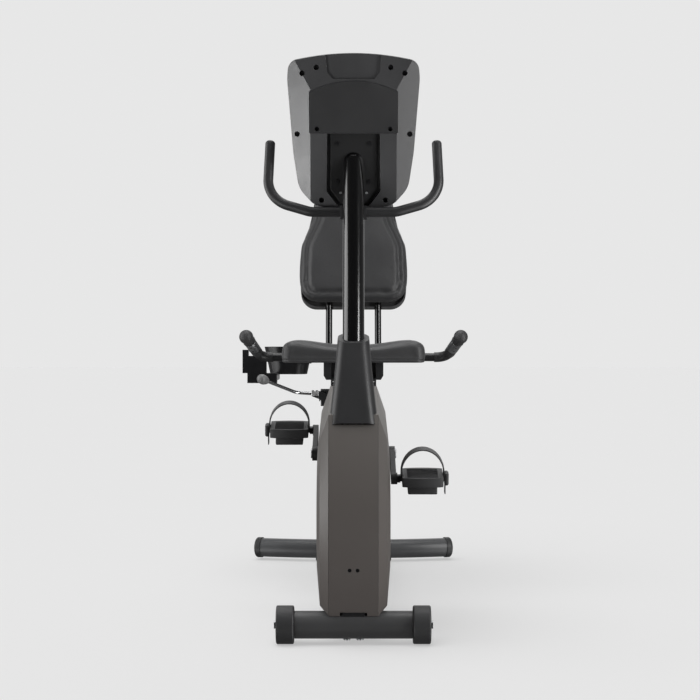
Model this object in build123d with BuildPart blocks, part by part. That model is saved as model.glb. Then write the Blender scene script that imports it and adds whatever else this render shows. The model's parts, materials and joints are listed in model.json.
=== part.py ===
"""Recumbent exercise bike with a belt drive, a sliding seat and a tilted console.

Millimetres. +Z is up, the front stabilizer is towards -Y, the rider sits towards +Y and
looks towards -Y. The origin is on the floor, under the middle of the whole bike.
"""
import os
from math import atan2, cos, degrees, radians, sin, sqrt

from build123d import *

os.makedirs("parts", exist_ok=True)

# ---------------------------------------------------------------- driving dimensions
FRONT_Y, FRONT_Z = -733.5, 43.7          # front stabilizer axis
FRONT_R, FRONT_HALF = 31.5, 134.0        # its tube
WHEEL_R, WHEEL_IN, WHEEL_OUT = 43.7, 135.2, 176.0
REAR_Y, REAR_Z, REAR_R = 719.0, 37.0, 29.0
REAR_HALF, REAR_BOW = 284.0, 1000.0      # half span and bow radius of the rear stabilizer
WALL = 2.5                               # steel tube wall
BEAM_HALF, BEAM_LOW, BEAM_TOP = 30.0, 82.0, 142.0
BEAM_REAR = REAR_Y + 34

CRANK_Y, CRANK_Z, CRANK_R = -373.5, 409.0, 170.0
CRANK_DROP = 48.5                        # height of one pedal axle below the crank axle
FLY_Y, FLY_Z, FLY_R = -560.0, 264.0, 116.0
PULLEY_R, SMALL_R = 118.0, 28.0
BELT_X, BELT_W, BELT_T = 56.0, 10.0, 3.0

HOUSING_HALF, FACET_HALF, SHELL = 84.4, 56.5, 3.0
MAST_R, MAST_LEAN = 25.4, 25.0
TILT = 12.0                              # console's lean towards the front
RAIL_SLOPE = 8.0
RAIL_Y, RAIL_Z = 250.0, 540.0            # a point on the middle of the seat rail
RAIL_HALF_X, RAIL_HALF_Z = 30.0, 22.0
SEAT_HALF, SEAT_FRONT, SEAT_REAR, SEAT_LOW = 202.0, 166.5, 520.0, 624.6
BACK_LEAN, BACK_Y, BACK_Z = 12.0, 590.0, 900.0
HANDLE_R, HANDLE_WALL = 11.8, 2.0        # the bar across the seat that carries both grips
CROSS_X, CROSS_Y, CROSS_Z = 268.0, 350.0, 637.0
HANDLE_END = (303.0, 236.5, 696.0)       # centre of the right grip's end

CRANK_AXIS = Plane(origin=(0, CRANK_Y, CRANK_Z), x_dir=(0, 1, 0), z_dir=(1, 0, 0))
FLY_AXIS = Plane(origin=(0, FLY_Y, FLY_Z), x_dir=(0, 1, 0), z_dir=(1, 0, 0))
SIDE = Plane.YZ                          # local x is Y, local y is Z, normal is +X
CONSOLE = Plane(origin=(0, -448.5, 1134), x_dir=(1, 0, 0),
                z_dir=(0, -cos(radians(TILT)), -sin(radians(TILT))))
RAIL = Plane(origin=(0, RAIL_Y, RAIL_Z), x_dir=(1, 0, 0),
             z_dir=(0, -sin(radians(RAIL_SLOPE)), cos(radians(RAIL_SLOPE))))
BACK = Plane(origin=(0, BACK_Y, BACK_Z), x_dir=(1, 0, 0),
             z_dir=(0, -cos(radians(BACK_LEAN)), sin(radians(BACK_LEAN))))
SIDES = {"left": -1, "right": 1}


def save(piece, label):
    """Label a finished piece and write its STEP file."""
    piece.part.label = label
    export_step(piece.part, f"parts/{label}.step")


def rod(plane, radius, low, high, mode=Mode.ADD):
    """A round bar along a plane's normal, between two heights above it."""
    with BuildSketch(plane.offset(low)) as disc:
        Circle(radius)
    extrude(disc.sketch, amount=high - low, mode=mode)


def bent_tube(points, bends, radius, wall):
    """A round tube along straight runs joined by arcs."""
    with BuildLine() as path:
        FilletPolyline(*points, radius=bends)
    with BuildSketch(path.line ^ 0) as ring:
        Circle(radius)
        Circle(radius - wall, mode=Mode.SUBTRACT)
    sweep(ring.sketch, path=path.line)


def box_of(low, high, mode=Mode.ADD):
    """A box between two corners."""
    size = [b - a for a, b in zip(low, high)]
    middle = [(a + b) / 2 for a, b in zip(low, high)]
    with Locations(Location(middle)):
        Box(*size, mode=mode)


def mirrored(points):
    """An outline's right half, from top to bottom, followed by its left half."""
    return points + [(-x, y) for x, y in reversed(points)]


# ---------------------------------------------------------------- stabilizers and beam
BOLT_X, BOLT_R = 15.0, 4.0
FLOOR_FRONT = Plane(origin=(0, FRONT_Y, 0))
FLOOR_REAR = Plane(origin=(0, REAR_Y, 0))
WHEEL_AXLE = Plane(origin=(0, FRONT_Y, FRONT_Z), x_dir=(0, 1, 0), z_dir=(1, 0, 0))


def saddle_holes(plane, top):
    """Clearance holes for the two bolts that clamp a stabilizer to the beam."""
    with BuildSketch(plane) as pair:
        with Locations((-BOLT_X, 0), (BOLT_X, 0)):
            Circle(BOLT_R + 0.2)
    extrude(pair.sketch, amount=top, mode=Mode.SUBTRACT)


with BuildPart() as front_stabilizer:
    with BuildSketch(WHEEL_AXLE.offset(-FRONT_HALF)):
        Circle(FRONT_R)
        Circle(FRONT_R - WALL, mode=Mode.SUBTRACT)
    extrude(amount=2 * FRONT_HALF)
    for side in SIDES.values():                       # end plugs that carry the wheel axles
        with BuildSketch(WHEEL_AXLE.offset(side * (FRONT_HALF - 12))):
            Circle(FRONT_R)
            Circle(5.2, mode=Mode.SUBTRACT)
        extrude(amount=side * 12)
    saddle_holes(FLOOR_FRONT, BEAM_LOW)
save(front_stabilizer, "front_stabilizer")

with BuildPart() as main_beam:
    with BuildSketch(Plane.XZ.offset(745)):
        with Locations((0, (BEAM_LOW + BEAM_TOP) / 2)):
            RectangleRounded(2 * BEAM_HALF, BEAM_TOP - BEAM_LOW, 8)
            RectangleRounded(2 * (BEAM_HALF - WALL), BEAM_TOP - BEAM_LOW - 2 * WALL, 5.5,
                             mode=Mode.SUBTRACT)
    extrude(amount=-745 - BEAM_REAR)
    for plane, low, height, radius in ((FLOOR_FRONT, FRONT_Z, FRONT_Z, FRONT_R),
                                       (FLOOR_REAR, REAR_Z, REAR_Z, REAR_R + 0.4)):
        seat_low = low + 16
        with BuildSketch(plane.offset(seat_low)):
            Rectangle(50, 46)
        extrude(amount=BEAM_LOW - seat_low)
        axis = Plane(origin=(0, plane.origin.Y, height), x_dir=(0, 1, 0), z_dir=(1, 0, 0))
        rod(axis, radius, -40, 40, Mode.SUBTRACT)
        saddle_holes(plane, BEAM_LOW + WALL + 1)
save(main_beam, "main_beam")

with BuildPart() as stabilizer_bolts:
    for plane, low in ((FLOOR_FRONT, FRONT_Z - FRONT_R), (FLOOR_REAR, REAR_Z - REAR_R)):
        for x in (-BOLT_X, BOLT_X):
            foot = Plane(origin=(x, plane.origin.Y, 0))
            rod(foot, BOLT_R, low - 1, 96)
            rod(foot, 8, low - 3, low)
            with BuildSketch(foot.offset(BEAM_LOW + WALL)):
                RegularPolygon(7, 6)
            extrude(amount=7)
    for side in SIDES.values():                       # wheel axles, with wide outer heads
        rod(WHEEL_AXLE, 5.0, *sorted((side * 118, side * 177)))
        rod(WHEEL_AXLE, 9.0, *sorted((side * 177, side * 181)))
        rod(WHEEL_AXLE, 9.0, *sorted((side * 114, side * 121.8)))
save(stabilizer_bolts, "stabilizer_bolts")

for name, side in SIDES.items():
    with BuildPart() as wheel:
        with BuildSketch(WHEEL_AXLE.offset(side * WHEEL_IN)):
            Circle(WHEEL_R)
        extrude(amount=side * (WHEEL_OUT - WHEEL_IN))
        fillet(wheel.edges().filter_by(GeomType.CIRCLE), 4)
        with BuildSketch(WHEEL_AXLE.offset(side * (WHEEL_OUT - 6))):
            Circle(31)
            Circle(14, mode=Mode.SUBTRACT)
        extrude(amount=side * 8, mode=Mode.SUBTRACT)
        rod(WHEEL_AXLE, 5.05, -200, 200, Mode.SUBTRACT)
    save(wheel, f"wheel_{name}")

REAR_ANGLE = degrees(atan2(REAR_HALF, sqrt(REAR_BOW**2 - REAR_HALF**2)))
REAR_SAG = REAR_BOW - sqrt(REAR_BOW**2 - REAR_HALF**2)
FOOT_X = 100.0
FOOT_SAG = REAR_BOW - sqrt(REAR_BOW**2 - FOOT_X**2)
with BuildPart() as rear_stabilizer:
    with BuildLine() as bow:
        ThreePointArc((-REAR_HALF, REAR_Y + REAR_SAG, REAR_Z), (0, REAR_Y, REAR_Z),
                      (REAR_HALF, REAR_Y + REAR_SAG, REAR_Z))
    with BuildSketch(bow.line ^ 0):
        Circle(REAR_R)
        Circle(REAR_R - WALL, mode=Mode.SUBTRACT)
    sweep(path=bow.line)
    saddle_holes(FLOOR_REAR, BEAM_LOW)
    for side in SIDES.values():
        foot = Plane(origin=(side * FOOT_X, REAR_Y + FOOT_SAG, 0))
        rod(foot, 4.06, 0, 20, Mode.SUBTRACT)
save(rear_stabilizer, "rear_stabilizer")

with BuildPart() as rear_end_caps:
    for side in SIDES.values():
        turn = radians(REAR_ANGLE)
        end = Plane(origin=(side * REAR_HALF, REAR_Y + REAR_SAG, REAR_Z),
                    z_dir=(side * cos(turn), sin(turn), 0))
        with BuildSketch(end):
            Circle(31.5)
        extrude(amount=19)
        fillet(rear_end_caps.faces().sort_by(Axis(end.origin, end.z_dir))[-1].edges(), 7)
        with BuildSketch(end.offset(-16)):
            Circle(REAR_R - WALL - 0.3)
            Circle(REAR_R - WALL - 3.3, mode=Mode.SUBTRACT)
        extrude(amount=16)
save(rear_end_caps, "rear_end_caps")

for name, side in SIDES.items():
    with BuildPart() as foot_pad:
        foot = Plane(origin=(side * FOOT_X, REAR_Y + FOOT_SAG, 0))
        rod(foot, 17, 0, 7.6)
        chamfer(foot_pad.edges().group_by(Axis.Z)[0], 1.5)
        rod(foot, 4.0, 7, 26)
    save(foot_pad, f"foot_{name}")

# ---------------------------------------------------------------- mast, socket and boot
LEAN = radians(MAST_LEAN)
MAST_FOOT = (-721.0, 500.0)


def on_mast(height):
    """The (Y, Z) point of the straight part of the mast at a height."""
    return (MAST_FOOT[0] + (height - MAST_FOOT[1]) * sin(LEAN) / cos(LEAN), height)


PLATE_DEPTH = -9.0                                    # the plate's near face, in the cover
MAST = Plane(origin=(0, *MAST_FOOT), x_dir=(1, 0, 0), z_dir=(0, sin(LEAN), cos(LEAN)))
MAST_END = 690.6                                      # middle of the rounded end, up the axis
with BuildPart() as mast:
    rod(MAST, MAST_R, 36, MAST_END)
    with Locations(Location(MAST.offset(MAST_END).origin)):
        Sphere(MAST_R)
    rod(MAST, MAST_R - WALL, 30, MAST_END - 30, Mode.SUBTRACT)
    split(bisect_by=CONSOLE.offset(PLATE_DEPTH), keep=Keep.TOP)
save(mast, "mast")

with BuildPart() as mast_socket:
    bent_tube([(0, MAST_FOOT[0], BEAM_TOP), (0, MAST_FOOT[0], 500), (0, *on_mast(690))],
              110, MAST_R - WALL - 0.4, WALL)
save(mast_socket, "mast_socket")



BOOT_TOP = Plane(origin=(0, -625, 698), z_dir=(0, -sin(radians(15)), cos(radians(15))))


def boot_body(shrink):
    """The tapered boot round the mast, lofted through rounded sections and cut level on top."""
    rings = []
    for height, half_x, low_y, high_y in ((-12 - shrink, 57.0, -34, 62), (96, 46, -35, 44),
                                          (262, 34, -31, 31)):
        with BuildSketch(MAST.offset(height)) as ring:
            with Locations((0, (low_y + high_y) / 2)):
                RectangleRounded(2 * (half_x - shrink), high_y - low_y - 2 * shrink, 27 - shrink)
        rings.append(ring.sketch.faces()[0])
    loft(rings)
    split(bisect_by=BOOT_TOP.offset(-shrink), keep=Keep.BOTTOM)


with BuildPart() as boot_hollow:
    boot_body(2.5)
with BuildPart() as boot_solid:
    boot_body(0)
with BuildPart() as mast_boot:
    add(boot_solid.part)
    add(boot_hollow.part, mode=Mode.SUBTRACT)
    rod(MAST, MAST_R + 0.2, 0, 320, Mode.SUBTRACT)
save(mast_boot, "mast_boot")

# ---------------------------------------------------------------- drive housing
# Side outlines from the middle out: half width, setback at front and rear, bottom and top.
HOUSING_STEPS = ((FACET_HALF, 0, 0, 66.5, 572), (77, 34, 26, 86, 514),
                 (HOUSING_HALF, 58, 60, 172, 446))


def housing_body(inset):
    """The housing's outer shape, or its hollow when inset by the shell's thickness."""
    rings = []
    for half, front, rear, low, top in HOUSING_STEPS:
        front, rear, low, top = front + inset, rear + inset, low + inset, top - inset
        start, corner = (-757 + front, low), (-741 + front, top - 50)
        with BuildSketch(SIDE.offset(half - inset)) as ring:
            with BuildLine():
                ThreePointArc(start, (-793.5 + front, 300), corner)
                Spline(corner, (-560, top - 8), (-380, top), (-196 - rear, 450), (-158 - rear, 300),
                       (-226 - rear, 170), (-330, low + 2))
                Line((-330, low + 2), start)
            make_face()
        rings.append(ring.sketch.faces()[0])
    extrude(rings[0], amount=-2 * (FACET_HALF - inset))
    for inner, outer in zip(rings, rings[1:]):
        loft([inner, outer], ruled=True)
    mirror(about=Plane.YZ)


with BuildPart() as housing_hollow:
    housing_body(SHELL)
with BuildPart() as housing_shell:
    housing_body(0)
    add(housing_hollow.part, mode=Mode.SUBTRACT)
    add(boot_solid.part, mode=Mode.SUBTRACT)
    rod(WHEEL_AXLE, FRONT_R + 1, -100, 100, Mode.SUBTRACT)
    box_of((-BEAM_HALF - 1, -760, 60), (BEAM_HALF + 1, -100, BEAM_TOP + 1), Mode.SUBTRACT)
    rod(CRANK_AXIS, 13, -100, 100, Mode.SUBTRACT)

COVER_HALF, COVER_REAR = 56.0, -738.0
SCREW_SPOTS = ((-9, 174), (9, 174))
SCREW_SEAT = 782.5
with BuildPart() as housing_front_cover:
    add(housing_shell.part)
    box_of((-COVER_HALF, -800, 60), (COVER_HALF, COVER_REAR, 530), Mode.INTERSECT)
    with BuildSketch(Plane.XZ.offset(820)):
        with Locations(*SCREW_SPOTS):
            Circle(2.2)
    extrude(amount=-100, mode=Mode.SUBTRACT)
    with BuildSketch(Plane.XZ.offset(SCREW_SEAT)):    # counterbores
        with Locations(*SCREW_SPOTS):
            Circle(4.5)
    extrude(amount=30, mode=Mode.SUBTRACT)
save(housing_front_cover, "housing_front_cover")

for name, side in SIDES.items():
    with BuildPart() as housing_side:
        add(housing_shell.part)
        box_of((-COVER_HALF - 0.5, -800, 60), (COVER_HALF + 0.5, COVER_REAR + 0.5, 530.5),
               Mode.SUBTRACT)
        split(bisect_by=SIDE.offset(side * 0.15), keep=Keep.TOP if side > 0 else Keep.BOTTOM)
    save(housing_side, f"housing_{name}")

# ---------------------------------------------------------------- crank, belt and flywheel
BRACKET_X = 26.0
MAGNET_HINGE = (FLY_Y + 96, FLY_Z + 110)
with BuildPart() as drive_bracket:
    for side in SIDES.values():
        with BuildSketch(SIDE.offset(side * BRACKET_X)) as crank_plate:
            with BuildLine():
                Polyline((CRANK_Y - 50, BEAM_TOP), (CRANK_Y + 70, BEAM_TOP), (CRANK_Y + 26, CRANK_Z),
                         (CRANK_Y - 26, CRANK_Z), close=True)
            make_face()
            with Locations((CRANK_Y + 4, 250)):
                Circle(24, mode=Mode.SUBTRACT)
        extrude(crank_plate.sketch, amount=side * 4)
        with BuildSketch(SIDE.offset(side * BRACKET_X)) as fork:
            with BuildLine():
                Polyline((FLY_Y - 40, BEAM_TOP), (FLY_Y + 40, BEAM_TOP), (FLY_Y + 18, FLY_Z + 12),
                         (FLY_Y - 18, FLY_Z + 12), close=True)
            make_face()
            fillet(fork.vertices().group_by(Axis.Z)[-1], 8)
        extrude(fork.sketch, amount=side * 4)
        with BuildSketch(SIDE.offset(side * BRACKET_X)) as ear:   # holds the magnets' hinge pin
            with Locations((CRANK_Y - 20, CRANK_Z - 22)):
                Circle(16)
            with Locations(MAGNET_HINGE):
                Circle(9)
            make_hull()
        extrude(ear.sketch, amount=side * 4)
    rod(Plane(origin=(0, *MAGNET_HINGE), x_dir=(0, 1, 0), z_dir=(1, 0, 0)), 4, -32, 32)
    rod(CRANK_AXIS, 26, -38, 38)
    rod(CRANK_AXIS, 20, -40, 40, Mode.SUBTRACT)
    rod(FLY_AXIS, 11, -40, 40, Mode.SUBTRACT)
save(drive_bracket, "drive_bracket")

with BuildPart() as bearings:
    for side in SIDES.values():
        rod(CRANK_AXIS, 20, *sorted((side * 24, side * 38)))
        rod(FLY_AXIS, 11, *sorted((side * BRACKET_X, side * (BRACKET_X + 4))))
    rod(CRANK_AXIS, 10.05, -60, 60, Mode.SUBTRACT)
    rod(FLY_AXIS, 6.05, -60, 60, Mode.SUBTRACT)
save(bearings, "bearings")

with BuildPart() as crank_axle:
    rod(CRANK_AXIS, 10, -102.2, 102.2)
    for side in SIDES.values():                       # capped bolts over the crank hubs
        rod(CRANK_AXIS, 12, *sorted((side * 102.2, side * 105.5)))
    fillet(crank_axle.edges().group_by(Axis.X)[0] + crank_axle.edges().group_by(Axis.X)[-1], 1.5)
save(crank_axle, "crank_axle")

with BuildPart() as drive_pulley:
    with BuildSketch(CRANK_AXIS.offset(BELT_X - BELT_W / 2 - 2)) as disc:
        Circle(PULLEY_R + 4)
    extrude(disc.sketch, amount=2)
    rod(CRANK_AXIS, PULLEY_R, BELT_X - BELT_W / 2, BELT_X + BELT_W / 2 + 2)
    with BuildSketch(CRANK_AXIS.offset(BELT_X - 9)) as web:
        with PolarLocations(72, 5):
            Circle(27)
    extrude(web.sketch, amount=30, mode=Mode.SUBTRACT)
    with BuildSketch(CRANK_AXIS.offset(BELT_X - 2)) as dish:
        Circle(PULLEY_R - 12)
        Circle(22, mode=Mode.SUBTRACT)
    extrude(dish.sketch, amount=20, mode=Mode.SUBTRACT)
    rod(CRANK_AXIS, 20, BELT_X - 12, BELT_X + 12)
    rod(CRANK_AXIS, 10, 0, 90, Mode.SUBTRACT)
save(drive_pulley, "drive_pulley")

with BuildPart() as flywheel:
    rod(FLY_AXIS, FLY_R, -14, 14)
    for side in SIDES.values():
        with BuildSketch(FLY_AXIS.offset(side * 7)) as web:
            Circle(FLY_R - 26)
            Circle(24, mode=Mode.SUBTRACT)
        extrude(web.sketch, amount=side * 10, mode=Mode.SUBTRACT)
    rod(FLY_AXIS, 6, -50, 50, Mode.SUBTRACT)
    chamfer(flywheel.edges().filter_by(GeomType.CIRCLE).sort_by(SortBy.RADIUS)[-2:], 2)
save(flywheel, "flywheel")

with BuildPart() as flywheel_pulley:
    rod(FLY_AXIS, 6, -40, 68)
    rod(FLY_AXIS, SMALL_R, BELT_X - BELT_W / 2 - 1, BELT_X + BELT_W / 2 + 1)
    for x in (BELT_X - BELT_W / 2 - 3, BELT_X + BELT_W / 2 + 1):
        rod(FLY_AXIS, SMALL_R + 3, x, x + 2)
    rod(FLY_AXIS, 10, 66, 72)
save(flywheel_pulley, "flywheel_pulley")

BELT_GAP = 0.3
with BuildPart() as drive_belt:
    with BuildSketch(SIDE.offset(BELT_X - BELT_W / 2 + 0.3)) as loop:
        with Locations((CRANK_Y, CRANK_Z)):
            Circle(PULLEY_R + BELT_GAP + BELT_T)
        with Locations((FLY_Y, FLY_Z)):
            Circle(SMALL_R + BELT_GAP + BELT_T)
        make_hull()
    with BuildSketch(SIDE.offset(BELT_X - BELT_W / 2 + 0.3)) as inside:
        with Locations((CRANK_Y, CRANK_Z)):
            Circle(PULLEY_R + BELT_GAP)
        with Locations((FLY_Y, FLY_Z)):
            Circle(SMALL_R + BELT_GAP)
        make_hull()
    extrude(loop.sketch, amount=BELT_W - 0.6)
    extrude(inside.sketch, amount=BELT_W - 0.6, mode=Mode.SUBTRACT)
save(drive_belt, "drive_belt")

# The magnets hang in an arc above the flywheel, on a hinged carrier.
with BuildPart() as magnet_carrier:
    with BuildSketch(SIDE.offset(-13)) as arch:
        with Locations((FLY_Y, FLY_Z)):
            Circle(FLY_R + 15)
            Circle(FLY_R + 5, mode=Mode.SUBTRACT)
            Rectangle(400, 400, align=(Align.CENTER, Align.MAX), mode=Mode.SUBTRACT)
            Rectangle(400, 104, align=(Align.CENTER, Align.MIN), mode=Mode.SUBTRACT)
    extrude(arch.sketch, amount=26)
    with BuildSketch(SIDE.offset(-13)) as lug:
        with Locations(MAGNET_HINGE):
            Circle(9)
        with Locations((FLY_Y + 75, FLY_Z + 111)):
            Rectangle(42, 10, rotation=-3)
    extrude(lug.sketch, amount=26)
    rod(Plane(origin=(0, *MAGNET_HINGE), x_dir=(0, 1, 0), z_dir=(1, 0, 0)), 4.05, -30, 30,
        Mode.SUBTRACT)
    rod(FLY_AXIS, FLY_R + 2.5, -30, 30, Mode.SUBTRACT)
save(magnet_carrier, "magnet_carrier")

# ---------------------------------------------------------------- cranks, pedals, straps
PEDAL_REACH = sqrt(CRANK_R**2 - CRANK_DROP**2)
PEDAL_IN, PEDAL_OUT, PEDAL_HALF = 115.5, 213.0, 47.0
PEDAL_TIP = 12.0                                      # the treads tip down at the front
for name, side in SIDES.items():
    pedal_y, pedal_z = CRANK_Y - side * PEDAL_REACH, CRANK_Z - side * CRANK_DROP
    axle = Plane(origin=(0, pedal_y, pedal_z), x_dir=(0, 1, 0), z_dir=(1, 0, 0))
    arm_turn = degrees(atan2(pedal_z - CRANK_Z, pedal_y - CRANK_Y))
    with BuildPart() as crank_arm:
        with BuildSketch(CRANK_AXIS.offset(side * 88)) as hub:
            Circle(18)
        extrude(hub.sketch, amount=side * 14.2)
        with BuildSketch(CRANK_AXIS.offset(side * 89.5)) as link:
            Circle(15)
            with PolarLocations(CRANK_R, 1, start_angle=arm_turn):
                Circle(12.5)
            make_hull()
        extrude(link.sketch, amount=side * 12.4)
        with BuildSketch(axle.offset(side * 90)) as eye:
            Circle(14)
        extrude(eye.sketch, amount=side * 14.4)
        rod(CRANK_AXIS, 10, -120, 120, Mode.SUBTRACT)
        rod(axle, 7, -120, 120, Mode.SUBTRACT)
    save(crank_arm, f"crank_arm_{name}")

    tread = Plane(axle.origin, x_dir=(0, cos(radians(PEDAL_TIP)), sin(radians(PEDAL_TIP))),
                  z_dir=(1, 0, 0))                    # local x runs back along the tread
    start = side * PEDAL_IN
    width = side * (PEDAL_OUT - PEDAL_IN)
    with BuildPart() as pedal:
        with BuildSketch(tread.offset(start)) as block:
            with BuildLine():
                Polyline((-PEDAL_HALF, -9), (-PEDAL_HALF, 9), (-PEDAL_HALF + 8, 14),
                         (PEDAL_HALF - 8, 14), (PEDAL_HALF, 9), (PEDAL_HALF, -9),
                         (PEDAL_HALF - 10, -13), (-PEDAL_HALF + 10, -13), close=True)
            make_face()
        extrude(block.sketch, amount=width)
        fillet(pedal.edges().filter_by(Axis.X), 2.5)
        with BuildSketch(tread.offset(start + width * 0.16)) as weight:   # hangs under the tread
            with Locations((0, -20)):
                RectangleRounded(56, 26, 5)
        extrude(weight.sketch, amount=width * 0.72)
        rod(axle, 7.06, -240, 240, Mode.SUBTRACT)
        rod(axle, 11, *sorted((side * (PEDAL_IN - 1), side * (PEDAL_IN + 7))), mode=Mode.SUBTRACT)
    save(pedal, f"pedal_{name}")

    # The strap arches over the foot from the inner to the outer edge of the tread.
    across = Plane(axle.origin, x_dir=(1, 0, 0), z_dir=-tread.x_dir)
    middle, half = side * (PEDAL_IN + PEDAL_OUT) / 2, (PEDAL_OUT - PEDAL_IN) / 2
    with BuildPart() as strap:
        with BuildSketch(across.offset(-16)) as arch:
            for grow, mode in ((3.4, Mode.ADD), (0.6, Mode.SUBTRACT)):
                with BuildLine():
                    foot_x = half + grow
                    FilletPolyline((middle - foot_x, -13), (middle - foot_x, 40),
                                   (middle - 0.55 * foot_x, 72 + grow),
                                   (middle + 0.55 * foot_x, 72 + grow), (middle + foot_x, 40),
                                   (middle + foot_x, -13), radius=[26, 24, 24, 26])
                    Line((middle + foot_x, -13), (middle - foot_x, -13))
                make_face(mode=mode)
        extrude(arch.sketch, amount=32)
        with BuildSketch(across.offset(-18)) as buckle:
            with Locations((side * (PEDAL_OUT + 8.9), 0)):
                RectangleRounded(10.6, 34, 3)
        extrude(buckle.sketch, amount=36)
        rod(axle, 11.5, *sorted((side * 100, side * PEDAL_IN)), mode=Mode.SUBTRACT)
    save(strap, f"strap_{name}")

with BuildPart() as pedal_spindles:
    for side in SIDES.values():
        axle = Plane(origin=(0, CRANK_Y - side * PEDAL_REACH, CRANK_Z - side * CRANK_DROP),
                     x_dir=(0, 1, 0), z_dir=(1, 0, 0))
        rod(axle, 7, *sorted((side * 90, side * (PEDAL_OUT - 4))))
        rod(axle, 10, *sorted((side * 104.6, side * 112)))
save(pedal_spindles, "pedal_spindles")

# ---------------------------------------------------------------- handlebar
BAR_Y, BAR_Z, BAR_R = -438.0, 1002.5, 12.2
UPRIGHT_LEAN = 20.0                                   # the uprights reach back to the rider
with BuildPart() as handlebar:
    rise = 147.0
    top = (BAR_Y + 14 + rise * sin(radians(UPRIGHT_LEAN)), 1036 + rise * cos(radians(UPRIGHT_LEAN)))
    half_bar = [(104, BAR_Y, BAR_Z), (211, BAR_Y + 14, 1034), (206, *top)]
    bent_tube([(-x, y, z) for x, y, z in reversed(half_bar)] + half_bar, [72, 60, 60, 72], BAR_R, 2)
save(handlebar, "handlebar")

with BuildPart() as handlebar_end_caps:
    for side in SIDES.values():
        end = Vector(side * 206, *top)
        plug = Plane(end, z_dir=end - Vector(side * 211, BAR_Y + 14, 1034))
        rod(plug, BAR_R, 0, 9)
        rod(plug, BAR_R - 2.2, -14, 0)
    fillet(handlebar_end_caps.edges().group_by(Axis.Z)[-1], 8)
save(handlebar_end_caps, "handlebar_end_caps")

with BuildPart() as handlebar_clamp:
    with BuildSketch(SIDE.offset(-32)) as block:
        with BuildLine():
            Polyline((BAR_Y - 44, BAR_Z - 20), (BAR_Y + 10, BAR_Z - 19), (BAR_Y + 18, BAR_Z - 10),
                     (BAR_Y + 18, BAR_Z + 6), (BAR_Y + 12, BAR_Z + 9),
                     (BAR_Y - 26, BAR_Z + 13), close=True)
        make_face()
    extrude(block.sketch, amount=64)
    rod(MAST, MAST_R, 400, 700, Mode.SUBTRACT)
    rod(Plane(origin=(0, BAR_Y, BAR_Z), x_dir=(0, 1, 0), z_dir=(1, 0, 0)), BAR_R, -60, 60,
        Mode.SUBTRACT)
    fillet(handlebar_clamp.edges().filter_by(Axis.X).group_by(Axis.Y)[-1], 4)
save(handlebar_clamp, "handlebar_clamp")

# ---------------------------------------------------------------- console
RIM, FACE = -28.0, -48.0                              # depths of the back cover's rim and the face
CREASE = 105.0                                        # half width of the back cover's flat middle
LIP = 2.5
BAND_FOOT, BAND_SLOPE = 166.0, 12.0                   # the top band falls away from the flat
CONSOLE_CROWN, CROWN_BOW = 262.3, 650.0
CONSOLE_HALF = [(157, 231, 27), (161, 190, 150), (147, 10, 300), (134, -76, 60),
                (98, -114, 40), (62, -124, 60)]
COVER_SPOTS = [(124, 203), (90, 216.5), (137, 56), (78, -104)]
PLATE_SPOTS = [(39, 33), (39, -59.5)]
PANEL_SPOTS = [(89, 69.5)]


BAND = Plane(CONSOLE.from_local_coords(Vector(0, BAND_FOOT, 0)), x_dir=(1, 0, 0),
             z_dir=CONSOLE.z_dir * cos(radians(BAND_SLOPE))
             + CONSOLE.y_dir * sin(radians(BAND_SLOPE)))


def both(spots):
    """Spots on the right, with their mirror images."""
    return [(side * x, y) for x, y in spots for side in (1, -1)]


def console_face(inset):
    """The console's outline as a sketch on its own plane."""
    with BuildSketch(Plane.XY) as face:
        with BuildLine():
            right = [(x, y) for x, y, _ in CONSOLE_HALF]
            bends = [r for _, _, r in CONSOLE_HALF]
            FilletPolyline((0, CONSOLE_CROWN), *right, *[(-x, y) for x, y in reversed(right)],
                           radius=[CROWN_BOW, *bends, *reversed(bends)], close=True)
        make_face()
        if inset:
            offset(amount=-inset)
    return face.sketch


def console_block(inset, low, high):
    """The outline extruded between two depths on the console's plane."""
    extrude(CONSOLE.offset(low) * console_face(inset), amount=high - low)


def cover_body(inset):
    """The back cover's faceted outer shape, or its hollow when inset."""
    console_block(inset, RIM, -inset)
    half, edge = CREASE, RIM + 3 - inset
    with BuildSketch(Plane(CONSOLE.origin, x_dir=(1, 0, 0), z_dir=CONSOLE.y_dir)) as section:
        with BuildLine():
            Polyline((-170, -RIM), (-170, -edge), (-half, inset), (half, inset), (170, -edge),
                     (170, -RIM), close=True)
        make_face()
    extrude(section.sketch, amount=300, both=True, mode=Mode.INTERSECT)
    split(bisect_by=BAND.offset(-inset), keep=Keep.BOTTOM)


def plate_shape(points, low, high, mode, base=CONSOLE):
    """A mirrored polygon extruded between two depths of the console, or of its top band."""
    with BuildSketch(base.offset(low)) as shape:
        with BuildLine():
            Polyline(*mirrored(points), close=True)
        make_face()
    extrude(shape.sketch, amount=high - low, mode=mode)


def panel_shape(grow, low, high, mode):
    """The access panel's outline, arched at the top."""
    with BuildSketch(CONSOLE.offset(low)) as shape:
        with BuildLine():
            x, top, foot = 106.5 + grow, 159 + grow, 60 - grow
            ThreePointArc((-x, top), (0, 184 + grow), (x, top))
            Polyline((x, top), (x, foot), (-x, foot), (-x, top))
        make_face()
    extrude(shape.sketch, amount=high - low, mode=mode)


def console_holes(spots, radius, low, high, mode):
    """Round holes or bosses at mirrored spots."""
    with BuildSketch(CONSOLE.offset(low)) as discs:
        with Locations(*both(spots)):
            Circle(radius)
    extrude(discs.sketch, amount=high - low, mode=mode)


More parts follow.
